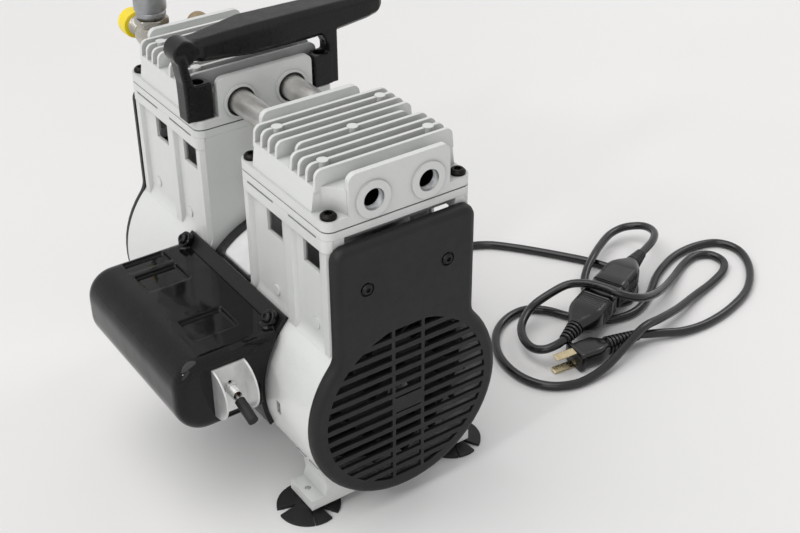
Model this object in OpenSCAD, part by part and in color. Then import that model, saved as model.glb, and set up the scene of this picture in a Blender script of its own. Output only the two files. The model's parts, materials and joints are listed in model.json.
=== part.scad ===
// Twin-cylinder oil-free piston vacuum pump on suction feet, with its mains lead.
// Two equal end housings stand on both ends of a motor. A shaft through both drives
// two rocking pistons half a turn apart. X runs across the pump, Y along the shaft
// from the front fan guard to the rear one, Z up from the bench.

/* [Head and housing] */
// Width of a cylinder head's flange
head_w = 100; // [92:1:108]
// Depth of a cylinder head's flange along the shaft
head_d = 97; // [90:1:104]
// Clear distance between the two end housings
motor_gap = 52; // [46:1:70]
// Height of the head gasket above the bench
gasket_z = 210; // [204:1:220]
// Corner radius of the flanges
flange_corner_r = 6; // [4:0.5:8]
// Thickness of the head's flange
head_flange_t = 6; // [5:0.5:8]
// Height of the head's core above its flange
head_core_h = 15.2; // [14:0.2:18]
// Height of the cooling fins above the core
fin_h = 10; // [7:0.5:12]
// Thickness of a cooling fin
fin_t = 2.4; // [1.8:0.2:3]
// Distance between two cooling fins
fin_pitch = 8.2; // [7.6:0.1:8.6]
// Length of a full fin
fin_len = 92; // [86:1:94]
// Length of the short fin in the middle
mid_fin_len = 76; // [60:1:80]
// Width of the port pads at the front and the rear
pad_w = 68; // [64:1:70]
// Radius of the hollows that the corner screws stand in
recess_r = 16; // [15:0.5:17]
// Radius of the round pads among the fins
ejector_r = 3.4; // [2.5:0.1:4]
// Inset of a corner screw from the flange's sides
screw_inset = 6.2; // [6:0.1:7]
// Thickness of the head gasket
gasket_t = 0.8; // [0.5:0.1:1.5]
// Thickness of the valve plate
valve_plate_t = 5; // [4:0.5:7]
// Thickness of the housing's top flange
top_flange_t = 8; // [6:0.5:10]
// Radius of the housing's round lower body
body_r = 67.5; // [66:0.5:70]
// Height of the shaft above the bench
shaft_z = 78.7; // [78:0.1:81]
// Half the width of the housing across its side panels
panel_x = 46; // [44.5:0.5:47]
// Half the width of the housing across its ribs
rib_x = 48.7; // [48:0.1:49.5]
// Wall of the housing
housing_wall = 4; // [3:0.5:5]
// Radius of the hollow between side panel and round body
waist_r = 14; // [10:1:18]
// Height of the foot rail's underside
rail_z = 7; // [6.5:0.5:8]
// Half the length of the foot rail
rail_x = 61; // [60:0.5:63]
// Depth of the foot rail along the shaft
rail_d = 26; // [24:1:34]
// Height of a side window
window_h = 20; // [14:1:22]
// Length of a side window along the shaft
window_len = 17.5; // [12:0.5:18]

/* [Ports and tubes] */
// Distance of a port from the head's middle
port_x = 18.5; // [17:0.5:20]
// Height of a port above the gasket
port_h = 13.4; // [12.8:0.1:14]
// Radius of a threaded port
port_r = 6.8; // [6:0.1:7]
// Depth of a threaded port
port_depth = 18; // [14:1:22]
// Radius of the raised ring round a port
port_ring_r = 11.5; // [11:0.1:12.5]
// Radius of a transfer tube
tube_r = 8; // [7:0.1:8.5]
// Wall of a transfer tube
tube_wall = 1.2; // [0.8:0.1:2]
// Depth that a transfer tube reaches into a head
tube_reach = 12; // [8:1:14]
// Radius of the cord of an O-ring
o_ring_r = 0.9; // [0.7:0.1:1.1]

/* [Cylinder and rod] */
// Radius of the cylinder's bore
bore_r = 30; // [30:0.5:31]
// Wall of the cylinder sleeve
sleeve_t = 3; // [2.5:0.1:4]
// Length of the cylinder sleeve
sleeve_len = 54; // [50:1:58]
// Throw of the crank
crank_throw = 5.5; // [4:0.1:5.5]
// Radius of the piston
piston_r = 24; // [23:0.5:24]
// Thickness of the piston's head
piston_t = 6; // [5:0.5:8]
// Gap over the piston at the top of its stroke
top_gap = 1.4; // [1:0.1:2.5]
// Radius of the rod's big end
big_end_r = 26; // [25:0.5:28]
// Thickness of the connecting rod along the shaft
rod_t = 14; // [12:0.5:16]
// Outer radius of the bearing in the big end
rod_bearing_r = 21; // [20.5:0.5:22]
// Radius of the crank pin
crank_pin_r = 15; // [14.5:0.5:16]
// Running clearance of shafts and pins
run_clear = 0.03; // [0.02:0.01:0.08]

/* [Motor and shaft] */
// Outer radius of the motor's shell
motor_r = 63; // [61:0.5:64]
// Wall of the motor's shell
motor_wall = 2.5; // [2:0.5:3]
// Depth that the motor's shell reaches into a housing
motor_reach = 4; // [3:0.5:5]
// Inner radius of the stator
stator_bore_r = 33; // [30:0.5:36]
// Length of the stator's core
stator_len = 40; // [30:1:44]
// Air gap between stator and rotor
air_gap = 0.4; // [0.3:0.1:0.8]
// Radius of the shaft
shaft_r = 7.5; // [7:0.5:8]
// Outer radius of a main bearing
bearing_r = 17.5; // [16:0.5:19]
// Width of a main bearing
bearing_w = 11; // [9:1:12]
// Radius of a cooling fan
fan_r = 56; // [50:1:58]
// Width of a cooling fan's blades
fan_w = 12; // [8:1:13]
// Number of blades on a fan
fan_blades = 14; // [8:1:18]

/* [Fan guard] */
// Height of the guard's front face over the housing's end
guard_t = 7; // [6:0.5:8]
// Wall of the fan guard
guard_wall = 3; // [2.5:0.5:3.5]
// Corner radius at the guard's top
guard_corner_r = 8; // [8:0.5:10]
// Gap between the guard's top and the valve plate
guard_gap = 4; // [3:0.5:6]
// Radius of the round grille
grille_r = 58; // [54:0.5:59]
// Distance between two slots of the grille
slot_pitch = 8.3; // [7.5:0.1:9]
// Height of a slot of the grille
slot_h = 4.9; // [4:0.1:5.5]
// Distance of a grille rib from the middle
grille_rib_x = 10.6; // [9:0.1:12]
// Width of a grille rib
grille_rib_w = 2.2; // [1.6:0.1:3]
// Distance of a guard screw from the middle
guard_screw_x = 28; // [26:0.5:30]
// Height of the guard screws above the shaft
guard_screw_h = 92; // [88:1:95]

/* [Fasteners] */
// Radius of a corner screw's head
head_screw_head_r = 4.8; // [4.4:0.1:5.2]
// Height of a corner screw's head
head_screw_head_h = 3; // [2.6:0.1:4]
// Radius of a corner screw's shank
head_screw_r = 2.6; // [2:0.1:2.8]
// Radius of a small screw's head
small_screw_head_r = 3.6; // [3:0.1:4]
// Height of a small screw's head
small_screw_head_h = 2.4; // [2:0.1:3]
// Radius of a small screw's shank
small_screw_r = 1.7; // [1.4:0.1:2]
// Clearance of a screw in its hole
screw_clear = 0.2; // [0.1:0.05:0.3]

/* [Handle] */
// Height of the grip's underside over the fins
grip_gap = 7.8; // [7:0.2:12]
// Height of the grip at its middle
grip_h = 20; // [16:0.5:22]
// Depth of the grip at its middle
grip_d = 27; // [22:0.5:28]
// Reach of the grip's free end from the middle
grip_reach = 92; // [84:1:96]
// Reach of the grip's rolled end from the middle
roll_reach = 52; // [50:0.5:54]
// Radius of the grip's rolled end
roll_r = 7.5; // [6:0.5:8]
// Height of a foot block
block_h = 26; // [22:1:30]
// Thickness of a leg
leg_t = 7; // [6:0.5:8]
// Depth of a leg along the shaft
leg_d = 13; // [11:0.5:13.5]

/* [Feet] */
// Distance of a foot from the pump's middle plane
foot_x = 56; // [54:0.5:57]
// Distance of a foot from the housing's outer end
foot_y = 24; // [20:1:28]
// Radius of a suction foot
foot_r = 20.5; // [18:0.5:22]
// Thickness of the suction foot's lip
foot_lip_t = 1.6; // [1.2:0.2:2.4]
// Radius of the suction foot's neck
foot_neck_r = 6; // [5:0.5:7]

/* [Switch box] */
// Length of the switch box along the shaft
box_len = 130; // [110:1:140]
// Distance of the box's front face from the housing's outer end
box_y = 46; // [40:1:56]
// Distance of the box's outer side from the shaft
box_x = 127; // [115:1:130]
// Height of the box's top
box_top_z = 122; // [118:0.5:126]
// Height of the box's underside
box_low_z = 71; // [66:0.5:74]
// Corner radius of the box's outer edges
box_corner_r = 18; // [12:1:20]
// Wall of the box's cover
box_wall = 2.6; // [2:0.2:3.6]
// Thickness of the saddle between box and motor
saddle_t = 3; // [2:0.2:4]
// Depth of the pockets in the box's top
pocket_deep = 2.4; // [1.5:0.1:3.5]
// Angle of the saddle's upper end round the shaft
saddle_top_a = 135; // [130:1:138]
// Angle of the saddle's lower end round the shaft
saddle_low_a = 202; // [196:1:206]
// Radius of the capacitor
capacitor_r = 17; // [12:0.5:18]
// Length of the capacitor
capacitor_len = 70; // [50:1:80]

/* [Toggle switch] */
// Distance of the switch from the shaft across the pump
switch_x = 93; // [90:0.5:96]
// Height of the switch
switch_z = 97; // [94:0.5:98]
// Width of the switch guard between its ears
switch_guard_w = 22; // [18:0.5:24]
// Height of the switch guard
switch_guard_h = 34; // [28:0.5:36]
// Length of the guard's ears
switch_ear_len = 17; // [12:0.5:20]
// Thickness of the guard's sheet
switch_sheet_t = 1.2; // [0.8:0.1:1.5]
// Radius of the switch's threaded bush
bush_r = 3.2; // [3:0.1:4]
// Length of the bush in front of the box
bush_len = 10; // [8:0.5:12]
// Angle of the toggle lever below the middle, in degrees
toggle_rest = 18; // [12:1:20]
// Length of the toggle lever from its pivot
lever_len = 22; // [18:0.5:24]
// Radius of the toggle lever
lever_r = 1.5; // [1.2:0.1:1.7]
// Radius of the lever's sleeve
sleeve_r = 2.7; // [2.4:0.1:3]

/* [Rear fittings] */
// Distance of the upright fitting from the head's rear face
fitting_y = 26; // [24:0.5:29]
// Radius of the fitting's body
fitting_r = 8; // [7:0.5:9]
// Radius of the upright silencer
silencer_r = 11.3; // [10:0.1:12]
// Length of the upright silencer
silencer_len = 37; // [30:1:50]
// Height of the upright silencer's foot over the port
silencer_rise = 16.2; // [15:0.2:19]
// Length of the short silencer behind the head
short_silencer_len = 39; // [30:1:42]
// Radius of the short silencer
short_silencer_r = 8; // [7:0.1:9]
// Length of the branch that the cap closes
branch_len = 36; // [30:0.5:38]
// Radius of the branch
branch_r = 6.8; // [6:0.1:7.2]
// Wall of the cap
cap_wall = 1.6; // [1:0.1:2]
// Length of the branch inside the cap
cap_grip = 10; // [7:0.5:12]

/* [Mains lead] */
// Radius of the lead
cord_r = 3.2; // [2.8:0.1:3.6]
// Length of the tapered strain relief
relief_len = 36; // [24:1:50]
// Radius of the strain relief at its root
relief_r = 6; // [5:0.5:8]
// Length of one half of the inline connector
connector_len = 48; // [42:1:52]
// Width of the inline connector
connector_w = 27; // [24:0.5:30]
// Height of the inline connector
connector_h = 19; // [18:0.5:21]
// Length of the plug's body
plug_len = 28; // [26:1:34]
// Width of the plug's body
plug_w = 23; // [21:0.5:26]
// Height of the plug's body
plug_h = 15.6; // [15.2:0.2:18]
// Length of the plug's blades
blade_len = 17; // [15.9:0.1:18.3]
// Distance between the two flat blades
blade_gap = 12.7; // [12.5:0.1:12.9]
// Width of a flat blade
blade_w = 6.35; // [6.2:0.05:6.5]
// Thickness of a flat blade
blade_t = 1.5; // [1.4:0.1:1.6]

/* [Hidden] */

$fn = 64;
overlap = 0.5;
pump_len = 2 * head_d + motor_gap;
foot_reach = foot_x + foot_r;
cap_end_y = pump_len + fitting_y + branch_len + cap_wall;
slab_t = 0.2;
origin_x = (max(foot_reach, grip_reach + slab_t) - box_x) / 2;
origin_y = (cap_end_y - guard_t) / 2;
head_z = gasket_z + gasket_t;
flange_top_z = head_z + head_flange_t;
core_top_z = flange_top_z + head_core_h;
fin_top_z = core_top_z + fin_h;
port_z = gasket_z + port_h;
housing_top_z = gasket_z - valve_plate_t;
screw_x = head_w / 2 - screw_inset;
bore_y = head_d / 2;
waist_x = rib_x + waist_r;
guard_top_z = housing_top_z - guard_gap;
end_wall_t = 7;
deck_t = 6;
deck_z = housing_top_z - sleeve_len - deck_t / 2;
fan_y = 5;
fan_back_t = 2;
fan_hub_r = 16;
guard_screw_z = shaft_z + guard_screw_h;
rod_top_z = housing_top_z - top_gap - crank_throw;
saddle_r = max(body_r, motor_r) + 0.3;
lug_a = 178.2 - asin((box_top_z - shaft_z) / (saddle_r + saddle_t));
lug_r = 5.5;
lug_h = 5;
box_lugs_y = [box_y + 12, box_y + box_len - 8];
box_end_y = box_y + box_len;
pin_hold = 4;
window_frame = 2;
eccentric_hub_r = crank_pin_r + 2;
winding_r = 5;
grip_z = fin_top_z + grip_gap;
handle_y = head_d + motor_gap + 0.5;
bearing_y = head_d - motor_reach - bearing_w;
screw_len = head_flange_t + gasket_t + valve_plate_t + top_flange_t - 1.2;
passage_r = port_r - 2.6;
passage_y = min(port_depth, tube_reach + 1) - passage_r - 0.4;
screw_sink = 1.4;

// Stands the pump's own frame on the part's origin
module placed() {
  translate([-origin_x, -origin_y, 0]) children();
}

// Mirrors a front piece to the pump's rear end
module at_rear() {
  translate([0, pump_len, 0]) mirror([0, 1, 0]) children();
}

// Extrudes an outline drawn in X and Z from y0 to y1
module along_y(y0, y1) {
  translate([0, y1, 0]) rotate([90, 0, 0]) linear_extrude(y1 - y0) children();
}

// Round bar along the shaft's direction
module bar_y(r, y0, y1, x = 0, z = 0) {
  translate([x, y1, z]) rotate([90, 0, 0]) cylinder(r = r, h = y1 - y0);
}

// Revolved solid round an axis along Y: its profile holds [radius, y] pairs
module turned_y(x = 0, z = 0, fn = 64) {
  translate([x, 0, z]) rotate([-90, 0, 0]) rotate_extrude($fn = fn) children();
}

function arc(cx, cy, r, a0, a1, n) =
  [for (i = [0 : n]) [cx + r * cos(a0 + (a1 - a0) * i / n), cy + r * sin(a0 + (a1 - a0) * i / n)]];

function rounded_rect(w, d, r, n = 5) = concat(
  arc(w / 2 - r, d / 2 - r, r, 0, 90, n),
  arc(r - w / 2, d / 2 - r, r, 90, 180, n),
  arc(r - w / 2, r - d / 2, r, 180, 270, n),
  arc(w / 2 - r, r - d / 2, r, 270, 360, n));

// Height and angle of the waist's hollow beside the round body
waist_z = shaft_z + sqrt(pow(body_r + waist_r, 2) - pow(waist_x, 2));
waist_a = atan2(waist_z - shaft_z, waist_x);

// Outline of the pump's end: round below, straight-sided above, drawn in by inset
function end_outline(inset, top_z, corner_r) = let (r = max(0.4, corner_r - inset)) concat(
  arc(0, shaft_z, body_r - inset, 180 - waist_a, 360 + waist_a, 44),
  arc(waist_x, waist_z, waist_r + inset, waist_a + 176, 180, 5),
  arc(rib_x - inset - r, top_z - inset - r, r, 0, 90, 5),
  arc(r + inset - rib_x, top_z - inset - r, r, 90, 180, 5),
  arc(-waist_x, waist_z, waist_r + inset, 0, 4 - waist_a, 5));

// Straight-sided upper part of the housing, its foot inside the round body
module upper_outline(half_w, top_z, hollow_r) {
  side_x = half_w + hollow_r;
  rise = sqrt(pow(body_r + hollow_r, 2) - pow(side_x, 2));
  turn = atan2(rise, side_x);
  polygon(concat(
    arc(side_x, shaft_z + rise, hollow_r, turn + 175, 180, 6),
    [[half_w, top_z], [-half_w, top_z]],
    arc(-side_x, shaft_z + rise, hollow_r, 0, 5 - turn, 6),
    [[-half_w * 0.8, shaft_z], [half_w * 0.8, shaft_z]]));
}

// Places a child at each corner screw of the front head
module at_corner_screws() {
  for (x = [-screw_x, screw_x], y = [screw_inset, head_d - screw_inset])
    translate([x, y, 0]) children();
}

// Flat plate of the flange's outline
module flange_plate(z0, t, shrink = 0) {
  translate([0, head_d / 2, z0]) linear_extrude(t)
    polygon(rounded_rect(head_w - 2 * shrink, head_d - 2 * shrink, flange_corner_r));
}

// Outline of a cooling fin with drawn-in, rounded ends
function fin_outline(len, low_z, top_z, r) = concat(
  [[-len / 2 - 0.8, low_z], [len / 2 + 0.8, low_z]],
  arc(len / 2 - r, top_z - r, r, 0, 90, 6),
  arc(r - len / 2, top_z - r, r, 90, 180, 6));

// Screw with a flat round head, its head's underside at z = 0
module screw(head_r, head_h, shank_r, len, drive_r) {
  difference() {
    union() {
      rotate_extrude($fn = 32)
        polygon([[0, 0], [head_r, 0], [head_r, head_h * 0.55], [head_r * 0.72, head_h], [0, head_h]]);
      translate([0, 0, -len]) cylinder(r = shank_r, h = len + overlap, $fn = 24);
    }
    translate([0, 0, head_h * 0.5]) cylinder(r = drive_r, h = head_h, $fn = 6);
  }
}

// Cylinder head casting. A threaded face has screwed ports, the other takes the tubes.
module head_casting(threaded_front) {
  fin_low_z = core_top_z - 3;
  wall_top = pad_w / 2;
  first_fin = head_d / 2 - 4 * fin_pitch;
  difference() {
    union() {
      flange_plate(head_z, head_flange_t);
      difference() {
        along_y(2.4, head_d - 2.4) polygon([[-head_w / 2 + 1.2, flange_top_z - overlap],
          [head_w / 2 - 1.2, flange_top_z - overlap], [fin_len / 2 + 0.5, core_top_z],
          [-fin_len / 2 - 0.5, core_top_z]]);
        for (x = [-head_w / 2, head_w / 2], y = [0, head_d])
          translate([x, y, flange_top_z]) cylinder(r = recess_r, h = head_core_h + 1);
      }
      for (k = [0 : 8])
        along_y(first_fin + k * fin_pitch - fin_t / 2, first_fin + k * fin_pitch + fin_t / 2)
          polygon(fin_outline(k == 4 ? mid_fin_len : fin_len, fin_low_z, fin_top_z, 4.5));
      for (y = [0, head_d - 4])
        along_y(y, y + 4)
          polygon(concat([[-wall_top, flange_top_z - overlap], [wall_top, flange_top_z - overlap]],
            arc(wall_top - 5, fin_top_z - 5, 5, 0, 90, 6), arc(5 - wall_top, fin_top_z - 5, 5, 90, 180, 6)));
      for (x = [-35.5, 35.5], k = [1, 7])
        translate([x, first_fin + k * fin_pitch, fin_low_z]) cylinder(r = ejector_r, h = fin_top_z - fin_low_z + 0.3);
      translate([0, head_d / 2, fin_low_z]) cylinder(r = ejector_r, h = fin_top_z - fin_low_z + 0.3);
      for (x = [-port_x, port_x]) bar_y(port_ring_r, -1.2, head_d + 1.2, x, port_z);
    }
    at_corner_screws() translate([0, 0, head_z - 1])
      cylinder(r = head_screw_r + screw_clear, h = head_flange_t + 2, $fn = 24);
    for (x = [-port_x, port_x]) {
      head_port(x, true, threaded_front);
      head_port(x, false, !threaded_front);
      for (y = [passage_y, head_d - passage_y])
        translate([x, y, head_z - 1]) cylinder(r = passage_r, h = port_z - head_z + 0.5, $fn = 32);
    }
    translate([-head_w, -2, head_z - 20]) cube([2 * head_w, head_d + 4, 20]);
  }
}

// One port of a head, in its front or its rear face
module head_port(x, at_front, threaded) {
  face_y = at_front ? -1.2 : head_d + 1.2;
  step = at_front ? 1 : -1;
  if (threaded)
    bar_y(port_r, min(face_y - step, face_y + step * (port_depth + 1.2)),
      max(face_y - step, face_y + step * (port_depth + 1.2)), x, port_z);
  if (!threaded) {
    deep = face_y + step * (tube_reach + 2.2);
    seat = face_y + step * 3.2;
    bar_y(tube_r + 0.05, min(face_y - step, deep), max(face_y - step, deep), x, port_z);
    bar_y(tube_r + 2 * o_ring_r, min(face_y - step, seat), max(face_y - step, seat), x, port_z);
  }
}

module front_head() {
  placed() color("gainsboro") head_casting(true);
}

module rear_head() {
  placed() color("gainsboro") at_rear() head_casting(true);
}

// Ring plate between head and housing, open over the bore
module pierced_plate(z0, t, shrink, hole_r) {
  difference() {
    flange_plate(z0, t, shrink);
    at_corner_screws() translate([0, 0, z0 - 1]) cylinder(r = head_screw_r + screw_clear, h = t + 2, $fn = 24);
    translate([0, bore_y, z0 - 1]) cylinder(r = hole_r, h = t + 2);
  }
}

module head_gaskets() {
  placed() color("dimgray") {
    pierced_plate(gasket_z, gasket_t, 0.6, bore_r);
    at_rear() pierced_plate(gasket_z, gasket_t, 0.6, bore_r);
  }
}

// Valve plate with its inlet and outlet holes
module valve_plate() {
  difference() {
    flange_plate(housing_top_z, valve_plate_t);
    at_corner_screws() translate([0, 0, housing_top_z - 1])
      cylinder(r = head_screw_r + screw_clear, h = valve_plate_t + 2, $fn = 24);
    for (x = [-11, 11], y = [-4, 4])
      translate([x, bore_y + y, housing_top_z - 1]) cylinder(r = 2.5, h = valve_plate_t + 2, $fn = 24);
  }
}

module front_valve_plate() {
  placed() color("lightgray") valve_plate();
}

module rear_valve_plate() {
  placed() color("lightgray") at_rear() valve_plate();
}

// Thin steel reed: a tongue with a round end over two holes
module reed(x, z) {
  translate([x, bore_y, z]) linear_extrude(0.3) {
    circle(r = 7.5);
    translate([-3.5, 0]) square([7, 20]);
  }
}

module reed_valves() {
  placed() color("silver") for (rear = [0, 1])
    translate([0, rear * (pump_len - head_d), 0]) {
      reed(11, gasket_z);
      reed(-11, housing_top_z - 0.3);
    }
}

// Cylinder sleeve, held between the housing's deck and the valve plate
module sleeve() {
  translate([0, bore_y, housing_top_z - sleeve_len]) difference() {
    cylinder(r = bore_r + sleeve_t, h = sleeve_len);
    translate([0, 0, -1]) cylinder(r = bore_r, h = sleeve_len + 2);
  }
}

module front_cylinder() {
  placed() color("silver") sleeve();
}

module rear_cylinder() {
  placed() color("silver") at_rear() sleeve();
}

// Upright rib on the housing's side panel, with sloping flanks
module side_rib(y0, y1) {
  flank = 2.4;
  for (s = [-1, 1])
    translate([0, 0, waist_z - 6]) linear_extrude(housing_top_z - waist_z + 6)
      polygon([[s * (panel_x - 1), y0 - flank], [s * rib_x, y0], [s * rib_x, y1], [s * (panel_x - 1), y1 + flank]]);
}

// End housing, seen from the front: open at the fan, closed towards the motor.
// Its side windows start at windows_y, and its middle rib at rib_y.
module housing(windows_y, rib_y) {
  inner_r = body_r - housing_wall;
  inner_x = panel_x - housing_wall;
  seat_r = bore_r + sleeve_t + 0.05;
  wall_y = head_d - end_wall_t;
  difference() {
    union() {
      bar_y(body_r, 0, head_d, 0, shaft_z);
      along_y(0, head_d) upper_outline(panel_x, housing_top_z - 2, waist_r);
      side_rib(2.5, 8);
      side_rib(rib_y, rib_y + 8);
      side_rib(head_d - 7, head_d - 2.5);
      flange_plate(housing_top_z - top_flange_t, top_flange_t);
      foot_rail();
      housing_dimples();
    }
    difference() {
      union() {
        bar_y(inner_r, -1, wall_y, 0, shaft_z);
        along_y(-1, wall_y) translate([-inner_x, shaft_z]) square([2 * inner_x, deck_z - shaft_z]);
        along_y(-1, wall_y) translate([-inner_x, deck_z + deck_t])
          square([2 * inner_x, housing_top_z - top_flange_t - deck_z - deck_t]);
      }
      for (s = [-1, 1]) guard_boss(s);
    }
    translate([0, bore_y, deck_z - 1]) cylinder(r = bore_r + 1, h = deck_t + 2);
    translate([0, bore_y, housing_top_z - sleeve_len]) cylinder(r = seat_r, h = sleeve_len + 1);
    bar_y(bearing_r + run_clear, wall_y - 1, head_d + 1, 0, shaft_z);
    bar_y(motor_r + 0.1, head_d - motor_reach, head_d + 1, 0, shaft_z);
    translate([-38, -1, housing_top_z - top_flange_t - 1]) cube([76, 10, top_flange_t + 2]);
    side_windows(windows_y);
    flange_slots();
    at_corner_screws() translate([0, 0, housing_top_z - top_flange_t + 0.8])
      cylinder(r = head_screw_r, h = top_flange_t, $fn = 24);
    for (x = [-foot_x, foot_x]) translate([x, foot_y, rail_z - 1]) cylinder(r = small_screw_r + screw_clear, h = 40, $fn = 24);
    for (x = [-guard_screw_x, guard_screw_x]) bar_y(small_screw_r, -1, 12, x, guard_screw_z);
  }
  bearing_seat(wall_y);
}

// Boss for a guard screw, carried from the side panel
module guard_boss(s) {
  bar_y(5.5, 0.5, 14, s * guard_screw_x, guard_screw_z);
  translate([s > 0 ? guard_screw_x : -panel_x - 1, 4, guard_screw_z - 3.5])
    cube([panel_x + 1 - guard_screw_x, 8, 7]);
}

// Rail under the round body, with a block over each foot
module foot_rail() {
  half = [[rail_x, rail_z], [rail_x, rail_z + 7], [rail_x - 9.5, rail_z + 7], [rail_x - 11.5, rail_z + 13],
    [rail_x - 10.5, rail_z + 21], [rail_x - 5.5, rail_z + 31]];
  along_y(11, 11 + rail_d)
    polygon(concat(half, [for (k = [len(half) - 1 : -1 : 0]) [-half[k][0], half[k][1]]]));
}

// Air windows in each side, their walls thinned from within, and the slot low in the round body
module side_windows(windows_y) {
  z0 = housing_top_z - top_flange_t - window_h;
  thin_x = panel_x - window_frame;
  for (s = [-1, 1], y = windows_y) {
    translate([s * panel_x - 6, y, z0]) cube([12, window_len, window_h]);
    translate([s > 0 ? thin_x - 6 : -thin_x, y - window_frame, z0 - window_frame])
      cube([6, window_len + 2 * window_frame, window_h + window_frame]);
  }
  for (s = [-1, 1])
    translate([s * body_r - 7, 32, shaft_z - 6]) cube([14, 4.5, 9]);
}

// Two long shallow slots in each side of the flange
module flange_slots() {
  for (s = [-1, 1], y = [10, 57])
    translate([s * head_w / 2 - 2, y, housing_top_z - 1.4]) cube([4, 30, 2]);
}

// Round casting marks on the side panels
module housing_dimples() {
  for (s = [-1, 1]) {
    translate([s * (panel_x - 2), 66, waist_z + 7]) rotate([0, s * 90, 0]) cylinder(r = 3.6, h = 2.7, $fn = 32);
    translate([s * (panel_x - 2), 20, waist_z + 9]) rotate([0, s * 90, 0]) cylinder(r = 3.6, h = 2.7, $fn = 32);
  }
}

// Sleeve on the end wall that holds the main bearing
module bearing_seat(wall_y) {
  difference() {
    bar_y(bearing_r + 4, bearing_y - 2, wall_y + overlap, 0, shaft_z);
    bar_y(bearing_r + run_clear, bearing_y, wall_y + 1, 0, shaft_z);
    bar_y(bearing_r - 2.6, bearing_y - 3, wall_y, 0, shaft_z);
  }
}

module front_housing() {
  placed() color("whitesmoke") housing([14, 55], 40.5);
}

module rear_housing() {
  placed() color("whitesmoke") at_rear() housing([26, 66], 49);
}

// Rolled edge of the fan guard: a closed section carried round the end's outline
module guard_rim() {
  // Each section point holds its inset from the outline and its height over the housing
  section = [[0, 0.1], [0, 3], [0.9, 5.2], [2.6, 6.6], [5, guard_t], [7, guard_t], [7, guard_t - guard_wall],
    [4.4, guard_t - guard_wall - 0.4], [guard_wall, 2], [guard_wall, 0.1]];
  rings = [for (p = section) end_outline(p[0], guard_top_z, guard_corner_r)];
  n = len(rings[0]);
  m = len(section);
  points = [for (k = [0 : m - 1], p = rings[k]) [p[0], -section[k][1], p[1]]];
  faces = [for (k = [0 : m - 1], i = [0 : n - 1], half = [0, 1])
    let (a = k * n + i, b = k * n + (i + 1) % n, c = ((k + 1) % m) * n + (i + 1) % n, d = ((k + 1) % m) * n + i)
    half == 0 ? [a, c, b] : [a, d, c]];
  polyhedron(points, faces, convexity = 6);
}

// Openings between the grille's slats, ribs and hub plate
module grille_openings() {
  difference() {
    circle(r = grille_r, $fn = 96);
    for (k = [-8 : 8])
      translate([-grille_r, k * slot_pitch + slot_h / 2 - slot_pitch / 2 + 0.1]) square([2 * grille_r, slot_pitch - slot_h]);
    for (x = [-grille_rib_x, grille_rib_x])
      translate([x - grille_rib_w / 2, -grille_r]) square([grille_rib_w, 2 * grille_r]);
    translate([-grille_rib_x, -5.2]) square([2 * grille_rib_x, 10.4]);
  }
}

// Fan guard with its slatted round grille
module fan_guard() {
  guard_rim();
  difference() {
    along_y(-guard_t, guard_wall - guard_t - 0.5) polygon(end_outline(6, guard_top_z, guard_corner_r));
    along_y(-guard_t - 1, 0) translate([0, shaft_z]) grille_openings();
    for (x = [-guard_screw_x, guard_screw_x]) {
      bar_y(small_screw_r + screw_clear, -guard_t - 1, 0, x, guard_screw_z);
      bar_y(small_screw_head_r + 1, -guard_t - 1, screw_sink - guard_t, x, guard_screw_z);
    }
  }
  for (x = [-guard_screw_x, guard_screw_x]) screw_post(x);
}

// Hollow post behind a guard screw
module screw_post(x) {
  difference() {
    bar_y(small_screw_head_r + 2, screw_sink - guard_t, 0.4, x, guard_screw_z);
    bar_y(small_screw_r + screw_clear, -guard_t, 1, x, guard_screw_z);
  }
}

module front_guard() {
  placed() color("#303030") fan_guard();
}

module rear_guard() {
  placed() color("#303030") at_rear() fan_guard();
}

// Two screws of the front fan guard
module guard_screw_pair() {
  for (x = [-guard_screw_x, guard_screw_x])
    translate([x, screw_sink - guard_t, guard_screw_z]) rotate([90, 0, 0])
      screw(small_screw_head_r, small_screw_head_h, small_screw_r - 0.05, 14, 1.6);
}

module guard_screws() {
  placed() color("#202020") {
    guard_screw_pair();
    at_rear() guard_screw_pair();
  }
}

module head_screws() {
  placed() color("#3a332c") {
    at_corner_screws() translate([0, 0, flange_top_z]) corner_screw(0);
    at_rear() for (x = [-screw_x, screw_x]) {
      translate([x, screw_inset, flange_top_z]) corner_screw(0);
      translate([x, head_d - screw_inset, flange_top_z]) corner_screw(pin_hold);
    }
  }
}

// Corner screw that clamps a head, its own head raised by what lies on the flange
module corner_screw(raised) {
  translate([0, 0, raised]) screw(head_screw_head_r, head_screw_head_h, head_screw_r - 0.02, screw_len + raised, 2.4);
}

module transfer_tubes() {
  y0 = head_d - tube_reach;
  y1 = head_d + motor_gap + tube_reach;
  placed() color("silver") for (x = [-port_x, port_x]) difference() {
    bar_y(tube_r, y0, y1, x, port_z);
    bar_y(tube_r - tube_wall, y0 - 1, y1 + 1, x, port_z);
  }
}

module tube_o_rings() {
  placed() color("black") for (x = [-port_x, port_x], y = [head_d, head_d + motor_gap])
    turned_y(x, port_z, 48) translate([tube_r + o_ring_r, y]) circle(r = o_ring_r - 0.02, $fn = 24);
}

module motor_shell() {
  y0 = head_d - motor_reach;
  y1 = head_d + motor_gap + motor_reach;
  placed() color("#1c1c1c") difference() {
    bar_y(motor_r, y0, y1, 0, shaft_z);
    bar_y(motor_r - motor_wall, y0 - 1, y1 + 1, 0, shaft_z);
    translate([motor_r - 8, pump_len / 2, shaft_z]) rotate([0, 90, 0]) cylinder(r = relief_foot_r - 1.9, h = 16);
  }
}

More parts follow.
